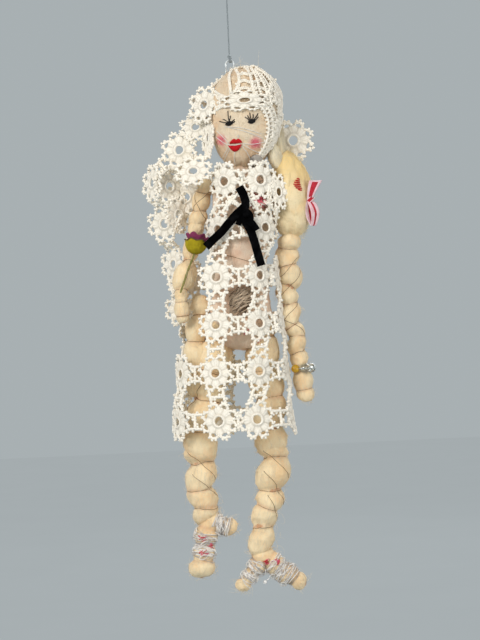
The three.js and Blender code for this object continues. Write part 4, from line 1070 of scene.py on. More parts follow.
def pink_wool(skin, draw):
    """Pink fibres on the left breast, in and before the lace, and at the left hip."""
    lines = []
    for _ in range(40):
        x, z = draw.uniform(7, 20), draw.uniform(-118, -107)
        lines.append([skin.front(x + 1.3 * u, z - 0.9 * u + draw.uniform(-0.4, 0.4), 0.7)
                      for u in range(5)])
    for _ in range(18):
        x, z = draw.gauss(16.5, 1.6), draw.gauss(-115.5, 1.6)
        lean, fall = draw.uniform(-1.1, 0.9), draw.uniform(-0.5, 0.8)
        lines.append([skin.front(x + lean * u, z + fall * u, 7.6 - 0.3 * abs(u))
                      for u in (-2, -1, 0, 1, 2)])
    for _ in range(16):
        x, z = draw.uniform(12, 22), draw.uniform(-236, -222)
        lines.append([skin.front(x - 1.0 * u, z - 1.5 * u + draw.uniform(-0.4, 0.4), 0.4)
                      for u in range(5)])
    return lines


def waist_tuft(skin, draw):
    """The brown tuft at the waist: its pale fibres and its dark ones."""
    tuft, dark = [], []
    for n in range(190):
        x, z = draw.uniform(-10.0, 4.5), draw.gauss(-196, 4.6)
        lean, fall, out = draw.gauss(1.7, 0.5), draw.gauss(1.1, 0.5), draw.uniform(0.4, 3.8)
        line = [skin.front(x + lean * u + 0.4 * sin(u + x), z + fall * u,
                           out * sin(pi * u / 5) + 0.3) for u in range(6)]
        (tuft if n % 4 else dark).append(line)
    return tuft, dark


class DOILY_OT_torso(bpy.types.Operator):
    """Trunk of tan wool under the dress, with pink fibres and the brown tuft at its waist"""
    bl_idname = "doily_doll.torso"
    bl_label = "Torso and tuft"

    def execute(self, context):
        bm = torso_form()
        skin = Skin(bm)
        draw = random.Random(5)
        pinks = pink_wool(skin, draw)
        tuft, dark = waist_tuft(skin, draw)
        stray = fuzz(bm, 260, 7.0, 13)
        trunk = piece("torso_wool", bm, "body_wool", "body", ["torso"])
        strands("torso_binding", [torso_tie(skin, z, lean) for z, lean in TORSO_TIES],
                sizes().binding_thread / MM, "brown_thread", "body")
        fibre_strands("torso_fibres", stray, FINE_FIBRE, "pale_fibre", "body")
        for name, lines, thick, look, slot, nodes in (
                ("torso_pink_fibres", pinks, 0.6, "pink_fibre", "wool", ()),
                ("waist_tuft_dark_wool", dark, 0.5, "dark_fibre", "brown_wool", ()),
                ("waist_tuft_wool", tuft, 0.62, "tuft_fibre", "brown_wool", ["waist_tuft"])):
            fibre_strands(name, lines, thick, look, "body", nodes, 0.5)
        return {"FINISHED"}


SLEEVE = (  # x, y, z and radius
    (40, 4, -75.5, 3), (40.2, 4, -79, 7.8), (41.2, 4, -86, 11.6), (43.2, 4, -95, 14.4),
    (45, 4, -105, 16), (45.4, 4, -114, 16.4), (45.2, 4, -122, 16.1), (44.4, 4, -129.5, 14.9),
    (43.2, 4, -135.5, 12.8), (41.9, 4, -140.5, 9.2), (41.2, 4, -145, 3),
)
SLEEVE_MARK = (  # x and half length of its stitches, from the top
    (49.9, 1.0), (49.4, 1.7), (48.9, 2.2), (48.8, 2.7), (49.3, 2.6), (50.0, 2.3), (50.8, 1.3),
)
LEFT_FOREARM = (
    (40.9, 4, -148.5, 9.4, 7.6, 1.4, 1), (38.6, 4, -160, 9.8, 8.4, 2.7, 3),
    (40.2, 4, -175.8, 9.9, 10.2, 3.1, 0), (37.2, 4, -189.5, 9.2, 8, 2.4, 4),
    (38, 4, -206, 10, 10.4, 2.9, 2), (42, 4, -218.6, 7.9, 7.4, 2, 5),
    (43, 4, -229.9, 7.8, 7.4, 2.2, 1), (44.4, 4, -241, 7.2, 7.6, 1.7, 3),
)
LEFT_CROSSINGS = ((4, 2.6, 28, 5.6), (22, 3.4, 52, 6.0), (46, 2.9, 62, 5.4), (56, 5.8, 80, 3.0))
LEFT_HAND = ((45.3, 4, -250, 6, 6, 0.3, 0), (46.8, 4, -259.5, 8, 9, 0.8, 2),
             (48.2, 4, -269.5, 7.2, 7, 0.6, 4))
RIGHT_UPPER_ARM = ((-24, 4, -100.5, 7.6, 8.5, 0.8, 0), (-28, 4, -112, 7.4, 8, 1.4, 3),
                   (-31, 4, -125.5, 7.2, 8, 1.2, 1))
RIGHT_CROSSINGS = ((0, 3.4, 20, 5.8), (8, 6.0, 27, 3.6))
RIGHT_FOREARM = (
    (-33.2, 3.4, -134.5, 6.6, 7, 0.5, 2), (-37.6, -1.6, -150.5, 6.8, 10, 1, 4),
    (-43.6, -8.4, -171.5, 9.2, 12, 1.6, 1), (-47, -12, -186, 5.4, 6, 0.5, 0),
)
RIGHT_HAND = ((-47.5, -13, -190.5, 4.6, 4.6, 0.2, 0), (-47.2, -13, -198, 6, 7.5, 0.6, 3),
              (-46.6, -13, -204, 5.2, 5, 0.4, 1))


def cut_off(bm, z, above):
    """The part of a closed form above or below a level, closed again at the cut."""
    part = bm.copy()
    bmesh.ops.bisect_plane(part, geom=part.verts[:] + part.edges[:] + part.faces[:],
                           plane_co=(0, 0, z), plane_no=(0, 0, 1),
                           clear_inner=above, clear_outer=not above)
    rim = [edge for edge in part.edges if edge.is_boundary]
    for edge in rim:
        edge.smooth = False
    bmesh.ops.holes_fill(part, edges=rim, sides=0)
    return outward(part)


def puff_form():
    """The puffed sleeve, gathered at the shoulder and the elbow."""
    bm = tube([(x, y, z, r, r * 0.96) for x, y, z, r in through(SLEEVE, 64)], 48)
    creased = bm.verts.layers.float.new("crease")

    def pleat(a, z):
        return cos(9 * a + 1.2 * sin(z / 9))

    for vert in bm.verts:
        a = atan2(vert.co.y - 4, vert.co.x - 44)
        z = vert.co.z
        pull = smooth((z + 96) / 16) + smooth((-124 - z) / 16)
        vert.co += vert.normal * (0.3 * (pleat(a, z) * pull) + 0.7 * sin(3 * a + z / 17))
        # painted shade: the hollows of the gathered pleats are marked to be tinted darker
        vert[creased] = 0.3 * pull * max(0.0, -pleat(a, vert.co.z)) ** 2
    lumpy(bm, 0.9, 11.0, 8)
    return outward(bm)


class DOILY_OT_left_arm(bpy.types.Operator):
    """Left arm: puffed golden sleeve with its stitched mark, bound forearm and hand"""
    bl_idname = "doily_doll.left_arm"
    bl_label = "Left arm"

    def execute(self, context):
        shoulder = ("body", "left_upper", (37.4, 4, -83.0), (37.4, 4, -98.0))
        elbow = ("left_upper", "left_fore", (40.6, 4, -139.5), (41.5, 4, -151.5))
        bm = puff_form()
        skin = Skin(bm)
        stray = fuzz(bm, 700, 9.0, 23)
        parts = (("left_sleeve_cap", shoulder, True, ()),
                 ("left_sleeve", elbow, False, ["left_upper_arm"]))
        for name, body, above, nodes in parts:
            sleeve = piece(name + "_wool", cut_off(bm, SLEEVE_SPLIT, above), "golden_wool", body,
                           nodes)
        bm.free()
        for name, body, above, _ in parts:
            lines = [line for line in stray if (line[0].z > SLEEVE_SPLIT) == above]
            fibre_strands(name + "_fibres", lines, FINE_FIBRE, "golden_fibre", body)
        mark = [[skin.front(x + half * u, -98.6 - 1.5 * k - 0.35 * u, 0.55 - 0.25 * u * u)
                 for u in (-1, -0.5, 0, 0.5, 1)] for k, (x, half) in enumerate(SLEEVE_MARK)]
        strands("sleeve_mark_stitches", mark, 1.1, "red_thread", "left_upper")
        form = BoundWool(LEFT_FOREARM, 21)
        bound_piece("left_forearm_wool", form, elbow, ["left_forearm"], fibres=110, hairs=170,
                    threads=[form.crossing(*row) for row in LEFT_CROSSINGS])
        bound_piece("left_hand_wool", BoundWool(LEFT_HAND, 25), "left_fore", ["left_hand"],
                    fibres=30, hairs=60)
        return {"FINISHED"}


class DOILY_OT_right_arm(bpy.types.Operator):
    """Right arm, close to the body under the veil"""
    bl_idname = "doily_doll.right_arm"
    bl_label = "Right arm"

    def execute(self, context):
        elbow = ("body", "right_fore", (-31.2, 4, -126.8), (-33.7, 2.8, -137.0))
        form = BoundWool(RIGHT_UPPER_ARM, 31)
        bound_piece("right_upper_arm_wool", form, elbow, ["right_upper_arm"], fibres=40, hairs=60,
                    threads=[form.crossing(*row) for row in RIGHT_CROSSINGS])
        bound_piece("right_forearm_wool", BoundWool(RIGHT_FOREARM, 35), elbow, ["right_forearm"],
                    fibres=50, hairs=80)
        bound_piece("right_hand_wool", BoundWool(RIGHT_HAND, 37), "right_fore", ["right_hand"],
                    fibres=20, hairs=40)
        return {"FINISHED"}


LEGS = {  # bulges; on a part of the foot, red stitches at a length and angle, and their count;
    # how far along each part the white thread reaches
    "left": {
        "thigh": [(13.8, 0, -216, 13.2, 13.5, 1.5, 0), (15.4, 0, -237, 14, 15, 3, 2),
                  (17, 0, -260, 14, 14.5, 2.8, 4), (18.6, 0, -282, 14, 14, 3.2, 1),
                  (18.9, 0, -304, 13.4, 12.5, 3, 3)],
        "shin": [(19.9, 0, -314.5, 12.2, 8.6, 1.9, 5), (19.1, 0, -333, 13.7, 14.2, 3.4, 1),
                 (16, 0, -352, 11.4, 9.4, 2.7, 3), (10.8, 0, -366, 10.6, 9.6, 2.8, 0),
                 (7.4, 0, -384.5, 10.2, 13, 2.5, 2)],
        "heel": [(8, 0, -399, 8.6, 7, 0.9, 1), (3.4, 0, -405.5, 7.4, 6.2, 1.3, 3),
                 (-3.2, 0, -413.4, 5.6, 7.4, 1.5, 0), (-8.8, 0, -420.2, 6.2, 5.4, 0.8, 2)],
        "toe": [(10.6, 0, -399, 8, 7, 0.8, 0), (17.5, 0, -405, 8.6, 8, 1.5, 2),
                (26, 0, -412.4, 8.6, 8.6, 1.7, 4), (35.6, 0, -418.8, 7, 6.8, 0.9, 1)],
        "red": [("toe", 3, 5, 9), ("toe", 8, 4.4, 7)],
        "covered": {"heel": 0.8, "toe": 0.86},
    },
    "right": {
        "thigh": [(-16.8, 0, -216, 13.2, 13.5, 1.5, 1), (-22.5, 0, -237, 14, 15, 3, 3),
                  (-28.5, 0, -260, 14, 14.5, 2.8, 5), (-34, 0, -282, 14, 14, 3.2, 2),
                  (-37.6, 0, -305, 14.2, 14.5, 2.3, 4)],
        "fold": [(-33, 3, -197, 9, 10, 1, 0), (-35.5, 2, -214.5, 10, 12, 2, 2),
                 (-37, 1, -235, 10.6, 13, 2.2, 4), (-37, 0.5, -256, 10.8, 12.5, 2, 1)],
        "shin": [(-38.4, 0, -315, 12.8, 9, 1.7, 0), (-38.6, 0, -332.5, 12.9, 12.5, 3.4, 2),
                 (-38, 0, -347.5, 12, 10.5, 3, 4), (-36.4, 0, -360.5, 10.6, 9.5, 2.3, 1)],
        "heel": [(-31, 0, -368.5, 8, 7, 0.8, 0), (-25, 0, -371.5, 6.8, 6.4, 1.3, 2),
                 (-18.6, 0, -373.4, 7.2, 7, 1.1, 4)],
        "toe": [(-33.6, 0, -371, 8.4, 7.5, 0.8, 2), (-37, 0, -380, 9.2, 8, 1.7, 0),
                (-38.6, 0, -392.5, 8.6, 8.6, 1.7, 3), (-41, 0, -405, 10.8, 8.2, 1.1, 1)],
        "red": [("toe", 12, 5, 7), ("toe", 17, 4, 6), ("toe", 23, 4.7, 8)],
        "covered": {"heel": 1, "toe": 0.8},
    },
}


def wound(form, seed, start, end):
    """White thread wound at all angles round a foot."""
    draw = random.Random(seed)
    low, high = form.start + 1.2, form.end - 1.2
    lines = []
    for _ in range(38):
        s = draw.uniform(start, end)
        lean, turn, drift = draw.uniform(-3.2, 3.2), draw.uniform(0, TURN), draw.uniform(-2.0, 2.0)
        line = []
        for k in range(23):
            a = TURN * k / 22
            at = min(max(s + lean * sin(a + turn) + drift * k / 22, low), high)
            line.append(form.at(at, a, 0.2 + 0.7 * draw.random()))
        lines.append(line)
    return lines


def looped(form, n):
    """Loops of white thread that stand off the front of a foot."""
    lines = []
    for j in range(12):
        s, a = form.marks[-1] * (0.22 + 0.05 * j), FRONT + 1.3 * sin(j * 2.1 + n)
        lines.append([form.at(s + 2.0 * sin(TURN * u / 10), a + 0.3 * cos(TURN * u / 10 + j),
                              0.5 + 1.7 * sin(pi * u / 10)) for u in range(11)])
    return lines


def whipped(form, s, a, count, seed):
    """Short red stitches over a foot."""
    draw = random.Random(seed)
    lines = []
    for _ in range(count):
        b = a + draw.uniform(-0.32, 0.32)
        at = s + draw.uniform(-2.2, 2.2)
        lean = draw.uniform(-1.6, 1.6)
        lines.append([form.at(at + lean * u, b + 0.16 * u, 0.85) for u in (-1, -0.4, 0.3, 1)])
    return lines


def ankle_hairs(x, z):
    """Long curled hairs beside an ankle."""
    lines = []
    for k in range(9):
        start = Vector((x + 9 + 2.2 * sin(k * 2.3), -3 + 3 * sin(k), z + 24 - 6.5 * k))
        reach, turn = 3.0 + 1.6 * sin(k * 1.9), k * 1.3
        line = []
        for u in range(15):
            a = 0.45 * u + turn
            line.append(start + Vector((reach * (1 - cos(a) * 0.7) * u / 12,
                                        1.2 * sin(u * 0.4), reach * sin(a))))
        lines.append(line)
    return lines


def make_foot(n, side, leg):
    """One foot of two bound rolls, its white thread, red stitches and fibres."""
    lower = f"{side}_lower_leg"
    bm = bmesh.new()
    wraps, reds, stray = [], [], []
    for k, part in enumerate(("heel", "toe")):
        form = BoundWool(leg[part], 71 + 2 * n + k, 0.85)
        limb = form.model(26)
        stray += fuzz(limb, 160, 8.0, 81 + k + n) + form.laid(70, 85 + k)
        join(bm, limb)
        long = form.marks[-1]
        wraps += wound(form, 91 + 2 * n + k, 0.22 * long, leg["covered"][part] * long)
        wraps += looped(form, n)
        for j, (on, s, a, count) in enumerate(leg["red"]):
            if on == part:
                reds += whipped(form, s, a, count, 95 + 3 * n + j)
    x, _, z = leg["shin"][-2][:3]
    stray += ankle_hairs(x, z)
    wool_piece = piece(f"{side}_foot_wool", bm, "cream_wool", lower, [f"{side}_foot"])
    slipper = f"{side}_slipper"
    strands(slipper + "_thread", wraps[::2], 0.62, "gauze", lower, [slipper])
    strands(slipper + "_fine_thread", wraps[1::2], 0.36, "grey_thread", lower)
    fibre_strands(f"{side}_foot_fibres", stray, FINE_FIBRE, "pale_fibre", lower)
    strands(slipper + "_stitches", reds[::2], 0.7, "red_thread", lower)
    strands(slipper + "_pink_stitches", reds[1::2], 0.7, "pink_thread", lower)


def make_pin():
    """The pin with a white head in the left slipper."""
    bm = bmesh.new()
    head, tip = Vector((8.82, 0, -418.9)), Vector((17.22, 0, -411.3))
    shaft = ((0.02, 0.45), (0.3, 0.45), (0.85, 0.43), (1.0, 0.1))  # share of the length, radius
    roll(bm, [(*head.lerp(tip, u), r, r) for u, r in shaft], 12)
    aim = Vector((0, 0, 1)).rotation_difference(tip - head).to_matrix().to_4x4()
    knob = lathe([(0.02, -1.7), (0.8, -1.5), (1.45, -0.8), (1.7, 0), (1.4, 0.8), (0.7, 1.3),
                  (0.02, 1.4)], 20)
    knob.transform(Matrix.Translation(head) @ aim)
    join(bm, knob)
    piece("shoe_pin_glass", outward(bm), "pin_white", "left_lower_leg", ["shoe_pin"])


class DOILY_OT_legs(bpy.types.Operator):
    """Bound wool legs and feet, with the white thread, red stitches and pin of the slippers"""
    bl_idname = "doily_doll.legs"
    bl_label = "Legs and slippers"

    def execute(self, context):
        for n, (side, leg) in enumerate(LEGS.items()):
            x, y, z = KNEES[side]
            knee = (f"{side}_leg", f"{side}_lower_leg",
                    (x, y, z + KNEE_REACH), (x, y, z - KNEE_REACH))
            form = BoundWool(leg["thigh"], 51 + n)
            fold = BoundWool(leg["fold"], 57) if "fold" in leg else None
            lines = [form.crossing(form.marks[k] - 4, 3.0 + k, form.marks[k + 1] + 3, 5.6 + k * 0.4)
                     for k in (2, 3)] + (fold.ties() if fold else [])
            bound_piece(f"{side}_thigh_wool", form, knee, [f"{side}_thigh"], 34, 90, 150, lines,
                        fold)
            form = BoundWool(leg["shin"], 61 + n)
            lines = [form.crossing(form.marks[k] - 3, 5.6 - k * 0.3,
                                   form.marks[k + 1] + 2, 3.4 - k * 0.2)
                     for k in range(len(leg["shin"]) - 2)]
            bound_piece(f"{side}_shin_wool", form, knee, [f"{side}_shin"], 34, 110, 190, lines)
            make_foot(n, side, leg)
        make_pin()
        return {"FINISHED"}


# ---- lace

def lace_plane(face):
    """Directions to the right and up in the plane of a daisy."""
    right = Vector((0, 0, 1)).cross(face).normalized()
    return right, face.cross(right)


def on_motif(motif, x, y, h=0.0):
    """A point of a daisy, bowed to what it lies on and drawn in where the lace is gathered."""
    at, face, bow, drawn = motif
    right, up = lace_plane(face)
    x, y = x * drawn[0], y * drawn[1]
    return at + right * x + up * y + face * (h - bow[0] * x * x - bow[1] * y * y)


def on_arch(k, u, height):
    """Radius and angle at a share of the way along one arch of a daisy."""
    a = TURN * k / ARCHES + TURN / ARCHES * (0.1 + 0.8 * u)
    return ARCH_ROOT + height * sin(pi * u) ** ARCH_POWER, a


def lump(bm, at, radius):
    """A small knot of yarn."""
    bmesh.ops.create_uvsphere(bm, u_segments=7, v_segments=5, radius=radius,
                              matrix=Matrix.Translation(at))


def daisy():
    """One crocheted daisy, flat: a raised eye, ribbed petals, and arches with picots round it."""
    hole, reach = sizes().eye_hole / MM, sizes().lace_reach / MM
    yarn = sizes().yarn / MM
    bm = lathe([(hole, -0.2), (hole + 0.1, 0.9), (hole + 0.8, 1.5), (hole + 1.6, 1.1),
                (hole + 2.0, 0.45), (6.8, 0.72), (8.8, 0.92), (10.4, 0.7), (11.3, 0.0),
                (10.4, -0.6), (7.4, -0.7), (hole + 1.2, -0.7)], 96)
    hollow = bm.verts.layers.float.new("crease")
    for vert in bm.verts:
        r, a = round_z(vert)
        out = smooth((r - 5.4) / 4.5)
        petal, rib = cos(ARCHES * a), cos(RIBS * a)
        groove = max(0.0, -rib) * 0.22 + (0.5 - 0.5 * petal) ** 4 * 0.5
        round_eye = exp(-((r - hole - 2.2) / 0.7) ** 2) * 0.55
        # painted shade: the grooves between ribs and petals, and the foot of the raised eye, are
        # marked as hollows to be tinted darker
        vert[hollow] = groove * smooth((r - 4.9) / 1.2) + round_eye
        rise = 0.2 * rib * smooth((r - 5.0) / 1.0) + 0.45 * petal * out
        widen(vert, 1 + 0.075 * petal * out, rise * (1 if vert.co.z > 0 else -0.6))
    for k in range(ARCHES):
        rows = []
        for j in range(13):
            u = j / 12
            thick = yarn * (0.58 + 0.1 * cos(TURN * 3 * u))
            spot = polar(*on_arch(k, u, reach - ARCH_ROOT - yarn * 0.5))
            rows.append((*spot, 0.25 * sin(pi * u), thick, thick))
        roll(bm, rows, 7)
        for u in (0.2, 0.5, 0.8):
            r, a = on_arch(k, u, reach - ARCH_ROOT)
            lump(bm, (*polar(r + yarn * 0.3, a), 0.3), yarn * 0.55)
    return as_mesh(outward(bm), "daisy")


def link_arches(motif, other):
    """The two arches of a daisy that face another, as angles in its plane."""
    right, up = lace_plane(motif[1])
    way = other[0] - motif[0]
    angle = atan2(way.dot(up), way.dot(right))
    step = TURN / ARCHES
    k = floor(angle / step - 0.5)
    return (k + 0.5) * step, (k + 1.5) * step


def chain(bm, start, end, yarn, bend=STRAIGHT, knots=True):
    """A bar of chain stitches between two places."""
    def along(u):
        return start.lerp(end, u) + bend * sin(pi * u)
    long = (end - start).length
    count = max(3, int(long / 0.8))
    part = bmesh.new()
    rows = []
    for k in range(count + 1):
        u = k / count
        thick = yarn * (0.58 + 0.13 * cos(TURN * u * long / 2.4))
        rows.append((*along(u), thick, thick))
    roll(part, rows, 7)
    if knots:
        side = cross_axes(end - start)[0]
        lumps = max(2, int(long / 3.4))
        for k in range(1, lumps):
            lump(part, along(k / lumps) + side * yarn * (0.8 if k % 2 else -0.8), yarn * 0.58)
    join(bm, outward(part))


def chain_row(bm, line, yarn):
    """Bars of chain from point to point."""
    for start, end in zip(line, line[1:]):
        chain(bm, start, end, yarn)


def ladder(bm, first, second, yarn):
    """Two rows of chain with bars between them, along an edge of the lace."""
    chain_row(bm, first, yarn)
    chain_row(bm, second, yarn)
    for start, end in zip(first, second):
        chain(bm, start, end, yarn * 0.85, knots=False)


def lace(motifs, links, straps, seed, fine=1.0):
    """Daisies joined by pairs of chain bars, and finer rows of chain, as one form of yarn.

    A motif is a middle, a facing, its bow across and up, and how far it is drawn in.
    """
    yarn = sizes().yarn / MM
    rim = sizes().lace_reach / MM - 0.3
    draw = random.Random(seed)
    noise.seed_set(seed + 1)  # for noise_vector, which starts from the clock otherwise
    template = daisy()
    bm = bmesh.new()
    bm.verts.layers.float.new("crease")
    shaped = []
    for at, face, bow, drawn in motifs:
        tilt = Vector([draw.uniform(-most, most) for most in (0.07, 0.04, 0.07)])
        shaped.append((at, (face + tilt).normalized(), bow, drawn))
    for motif in shaped:
        first = len(bm.verts)
        bm.from_mesh(template)
        bm.verts.ensure_lookup_table()
        grow = draw.uniform(0.98, 1.03)
        wave, phase = draw.uniform(0.2, 0.6), draw.uniform(0, TURN)
        for k in range(first, len(bm.verts)):
            x, y, h = bm.verts[k].co
            ripple = wave * sin(2 * atan2(y, x) + phase) * (hypot(x, y) / 15) ** 2
            worn = noise.noise_vector(Vector((x, y, first)) / 5.0) * 0.45
            place = x * grow + worn.x, y * grow + worn.y, h + ripple + worn.z
            bm.verts[k].co = on_motif(motif, *place)
    bpy.data.meshes.remove(template)
    bars = bmesh.new()
    for one, other in ((shaped[a], shaped[b]) for a, b in links):
        near, far = link_arches(one, other), link_arches(other, one)
        out = (one[1] + other[1]).normalized()
        middles = []
        for here, there in zip(near, reversed(far)):
            start, end = on_motif(one, *polar(rim, here)), on_motif(other, *polar(rim, there))
            if (end - start).length > 1.2:
                bend = out * (0.05 * (end - start).length)
                chain(bars, start, end, yarn, bend)
                middles.append((start + end) / 2 + bend)
        if len(middles) == 2 and 3.0 < (middles[1] - middles[0]).length < 16.0:
            chain(bars, *middles, yarn)
    for rows in straps:
        chain_row(bars, [Vector(row) for row in through(rows, 4 * len(rows))], yarn * fine)
    join(bm, bars)
    return bm


def yarn_area(bm):
    """Half the surface of the yarn, in square metres."""
    return sum(face.calc_area() for face in bm.faces) / 2 * MM * MM


def ellipse_angle(a, b, share):
    """The angle on an ellipse at a share of the way round it, from the front."""
    steps = 360
    lengths = [0.0]
    for k in range(steps):
        t = TURN * (k + 0.5) / steps
        lengths.append(lengths[-1] + hypot(a * cos(t), b * sin(t)))
    wanted = (share - floor(share)) * lengths[-1]
    k = next(i for i, far in enumerate(lengths) if far > wanted) - 1
    return radians(k + (wanted - lengths[k]) / (lengths[k + 1] - lengths[k]))


def on_ring(row, place):
    """A place of the dress: its row, and its degrees in the bodice or its share round the skirt."""
    z = DRESS_TOP - row * ROW_PITCH
    skirt = row - BODICE_ROWS
    if skirt < 0:
        a, b = BODICE_WIDE, BODICE_DEEP
        middle, tip = body_x(z), 0
        angle = radians(place)
    else:
        a = SKIRT_WIDE + FLARE * skirt
        b = SKIRT_DEPTH * a
        middle, tip = body_x(z) - SKIRT_SHIFT * (1 - 0.12 * skirt), FLARE / ROW_PITCH
        angle = ellipse_angle(a, b, place)
    s, c = sin(angle), cos(angle)
    face = Vector((s / a, -c / b, 0)).normalized() + Vector((0, 0, tip))
    curve = a * b / (a * a * c * c + b * b * s * s) ** 1.5
    return Vector((middle + a * s, -b * c, z)), face.normalized(), (curve / 2, 0.0), (1.0, 1.0)


SWAY = {(1, 2): 0.026, (1, 3): 0.012, (1, 5): -0.016, (0, 5): 0.012}  # by column and row


def bodice(middle, way):
    """Daisies of the bodice to one side of the front or the back, in degrees."""
    return [on_ring(row, middle + way * turn) for row, turn in enumerate(BODICE_TURN)]


def skirt_column(k, start=0, out=0.0):
    """Daisies from the waist, or a lower row, to the hem, set out where a leg needs room."""
    column = []
    for row in range(BODICE_ROWS + start, BODICE_ROWS + SKIRT_ROWS):
        place = -0.05 + k / SKIRT_COLUMNS + SWAY.get((k, row), 0.0)
        at, face, bow, drawn = on_ring(row, place)
        column.append((at + face * out, face, bow, drawn))
    return column


def net_of(columns):
    """Pairs of neighbours in columns that end at the hem: down each and across to the next."""
    pairs = []
    first = [sum(len(c) for c in columns[:k]) for k in range(len(columns))]
    for k, motifs in enumerate(columns):
        pairs += [(first[k] + i - 1, first[k] + i) for i in range(1, len(motifs))]
        if k + 1 < len(columns):
            below = columns[k + 1]
            for i in range(1, min(len(motifs), len(below)) + 1):
                pairs.append((first[k] + len(motifs) - i, first[k + 1] + len(below) - i))
    return pairs


def dress_panel(columns, side, seed, flaps):
    """One side of the dress: columns of daisies, shoulder straps and loose daisies beside them."""
    motifs = [motif for column in columns for motif in column]
    tall, straps = [], []
    for column in columns:
        if len(column) > SKIRT_ROWS:
            at = column[0][0]
            tall.append(motifs.index(column[0]))
            for off in (-2.0, 2.0):
                straps.append([(at.x + off, at.y, at.z + 13.5),
                               (at.x + off * 0.8, at.y * 0.62, TORSO_TOP + 1.5),
                               (at.x + off * 0.6, side * 0.6, TORSO_TOP + 1.0)])
    links = net_of(columns) + [(tall[0], tall[1] + 1), (tall[1], tall[0] + 1)]
    for flap in flaps:
        links += [(tall[1], len(motifs)), (tall[1] + 1, len(motifs))]
        motifs.append(flap)
    return lace(motifs, links, straps, seed)


def loose(x, y, z, facing, drawn=(1.0, 1.0)):
    """A flat daisy that hangs free."""
    return Vector((x, y, z)), Vector(facing).normalized(), (0.0, 0.0), drawn


def gathered(place, wide, tall):
    """A daisy on the head that is drawn in."""
    return (*place[:3], (wide, tall))


class DOILY_OT_dress(bpy.types.Operator):
    """Front and back of the crocheted dress"""
    bl_idname = "doily_doll.dress"
    bl_label = "Dress"

    def execute(self, context):
        front = [skirt_column(-1, OPEN_ROWS), bodice(0, -1) + skirt_column(0),
                 bodice(0, 1) + skirt_column(1), skirt_column(2, out=2.2)]
        back = [bodice(180, -1) + skirt_column(3), bodice(180, 1) + skirt_column(4),
                skirt_column(5)]
        armhole = loose(34.0, -13.5, -108.5, (0.45, -0.88, 0.1), (0.6, 0.95))
        for name, columns, side, seed, flaps in (("dress_front", front, -1, 3, [armhole]),
                                                 ("dress_back", back, 1, 4, ())):
            bm = dress_panel(columns, side, seed, flaps)
            wide = COLUMN_WIDE * len(columns) * MM
            tall = (BODICE_ROWS + SKIRT_ROWS) * ROW_PITCH * MM
            area = min(yarn_area(bm), wide * tall)
            panel = piece(name + "_lace", bm, "lace_cotton", "body", [name])
        return {"FINISHED"}


VEIL_LINKS = (  # each daisy and those it is joined to
    ("crown", "right_top", "back_right", "back_left", "top"),
    ("top", "forehead", "left"),
    ("forehead", "right_top", "left"),
    ("right_top", "right_face", "back_right"),
    ("left", "left_face", "back_left", "temple"),
    ("temple", "fall"),
    ("chest", "left_face", "arm", "fall"),
    ("fall", "edge", "arm", "fold"),
    ("low", "edge", "arm", "tip", "inner"),
    ("tip", "cuff"),
    ("nape", "back_right", "back_left"),
    ("back_right", "back_left", "shoulder"),
)
VEIL_NET = (  # rows of chain over the crown and beside the face: height on the head and degrees
    ((0.93, 60), (0.85, 66), (0.74, 69), (0.6, 72), (0.45, 74), (0.3, 72), (0.18, 66), (0.1, 50)),
    ((0.95, 30), (0.87, 40), (0.75, 46), (0.62, 50)),
    ((0.97, 45), (0.9, 54), (0.8, 58), (0.7, 60), (0.6, 62), (0.45, 64), (0.3, 64), (0.18, 58)),
    ((0.9, 84), (0.8, 83), (0.7, 82), (0.6, 82), (0.45, 82), (0.3, 80), (0.2, 74)),
    ((0.69, -16), (0.75, -13), (0.82, -12), (0.89, -16), (0.96, -38)),
    ((0.69, 14), (0.75, 12), (0.8, 11), (0.88, 10), (0.97, 4)),
    ((0.68, 26), (0.78, 23), (0.88, 22), (0.96, 18)),
    ((0.64, 36), (0.74, 36), (0.84, 33), (0.93, 26)),
    ((0.755, -13), (0.77, -1), (0.755, 12), (0.77, 24), (0.75, 36)),
    ((0.82, -14), (0.845, -2), (0.82, 11), (0.84, 28), (0.82, 42)),
    ((0.9, -19), (0.915, -4), (0.9, 9), (0.92, 24), (0.9, 40)),
    ((0.97, -60), (0.9, -38), (0.82, -28), (0.75, -23), (0.68, -21)),
    ((0.8, -80), (0.74, -50), (0.7, -34)),
)
VEIL_RIM = ((0.60, 22), (0.56, 30), (0.5, 37), (0.43, 42), (0.36, 45), (0.29, 46), (0.22, 45),
            (0.16, 42), (0.11, 36))
RIM_STEP = 9.0  # degrees between the rows of the rim


def veil_places():
    """Daisies of the veil, by name."""
    return {
        "forehead": gathered(on_head(0.645, 0, 2.6), 1.25, 0.54),
        "top": gathered(on_head(0.975, 160), 0.95, 0.9),
        "right_top": on_head(0.72, 80),
        "right_face": on_head(0.36, 85, 2.2),
        "left_face": loose(-19.6, -7, -62.5, (-0.88, -0.47, 0.05), (0.6, 1.1)),
        "crown": on_head(0.93, 130),
        "back_right": on_head(0.6, 140),
        "back_left": on_head(0.6, -140),
        "nape": on_head(0.3, 180),
        "left": loose(-21.8, -7, -36, (-0.62, -0.74, 0.25)),
        "fall": loose(-43.6, 6, -70, (-0.22, -0.97, 0.1)),
        "edge": loose(-66.2, 6, -95.4, (-0.86, -0.5, 0)),
        "chest": loose(-33, -14, -89, (-0.25, -0.86, 0.44), (1.0, 0.85)),
        "arm": loose(-40.5, 10, -107.7, (-0.1, -0.99, 0)),
        "low": loose(-58.1, 10, -128.4, (-0.4, -0.91, 0)),
        "tip": loose(-52.9, 17, -161, (-0.75, -0.66, 0)),
        "shoulder": loose(48.3, 13, -66, (0.1, -0.99, 0.08), (1.1, 1.1)),
        "temple": loose(-29.5, 3, -52.5, (-0.35, -0.9, 0.25), (0.95, 0.75)),
        "fold": loose(-53.0, 4, -99.0, (0.55, -0.83, 0.1)),
        "inner": loose(-47.0, 5, -122.0, (0.7, -0.7, 0)),
        "cuff": loose(-49.5, 5, -197.5, (-0.5, -0.86, 0), (0.85, 0.9)),
    }


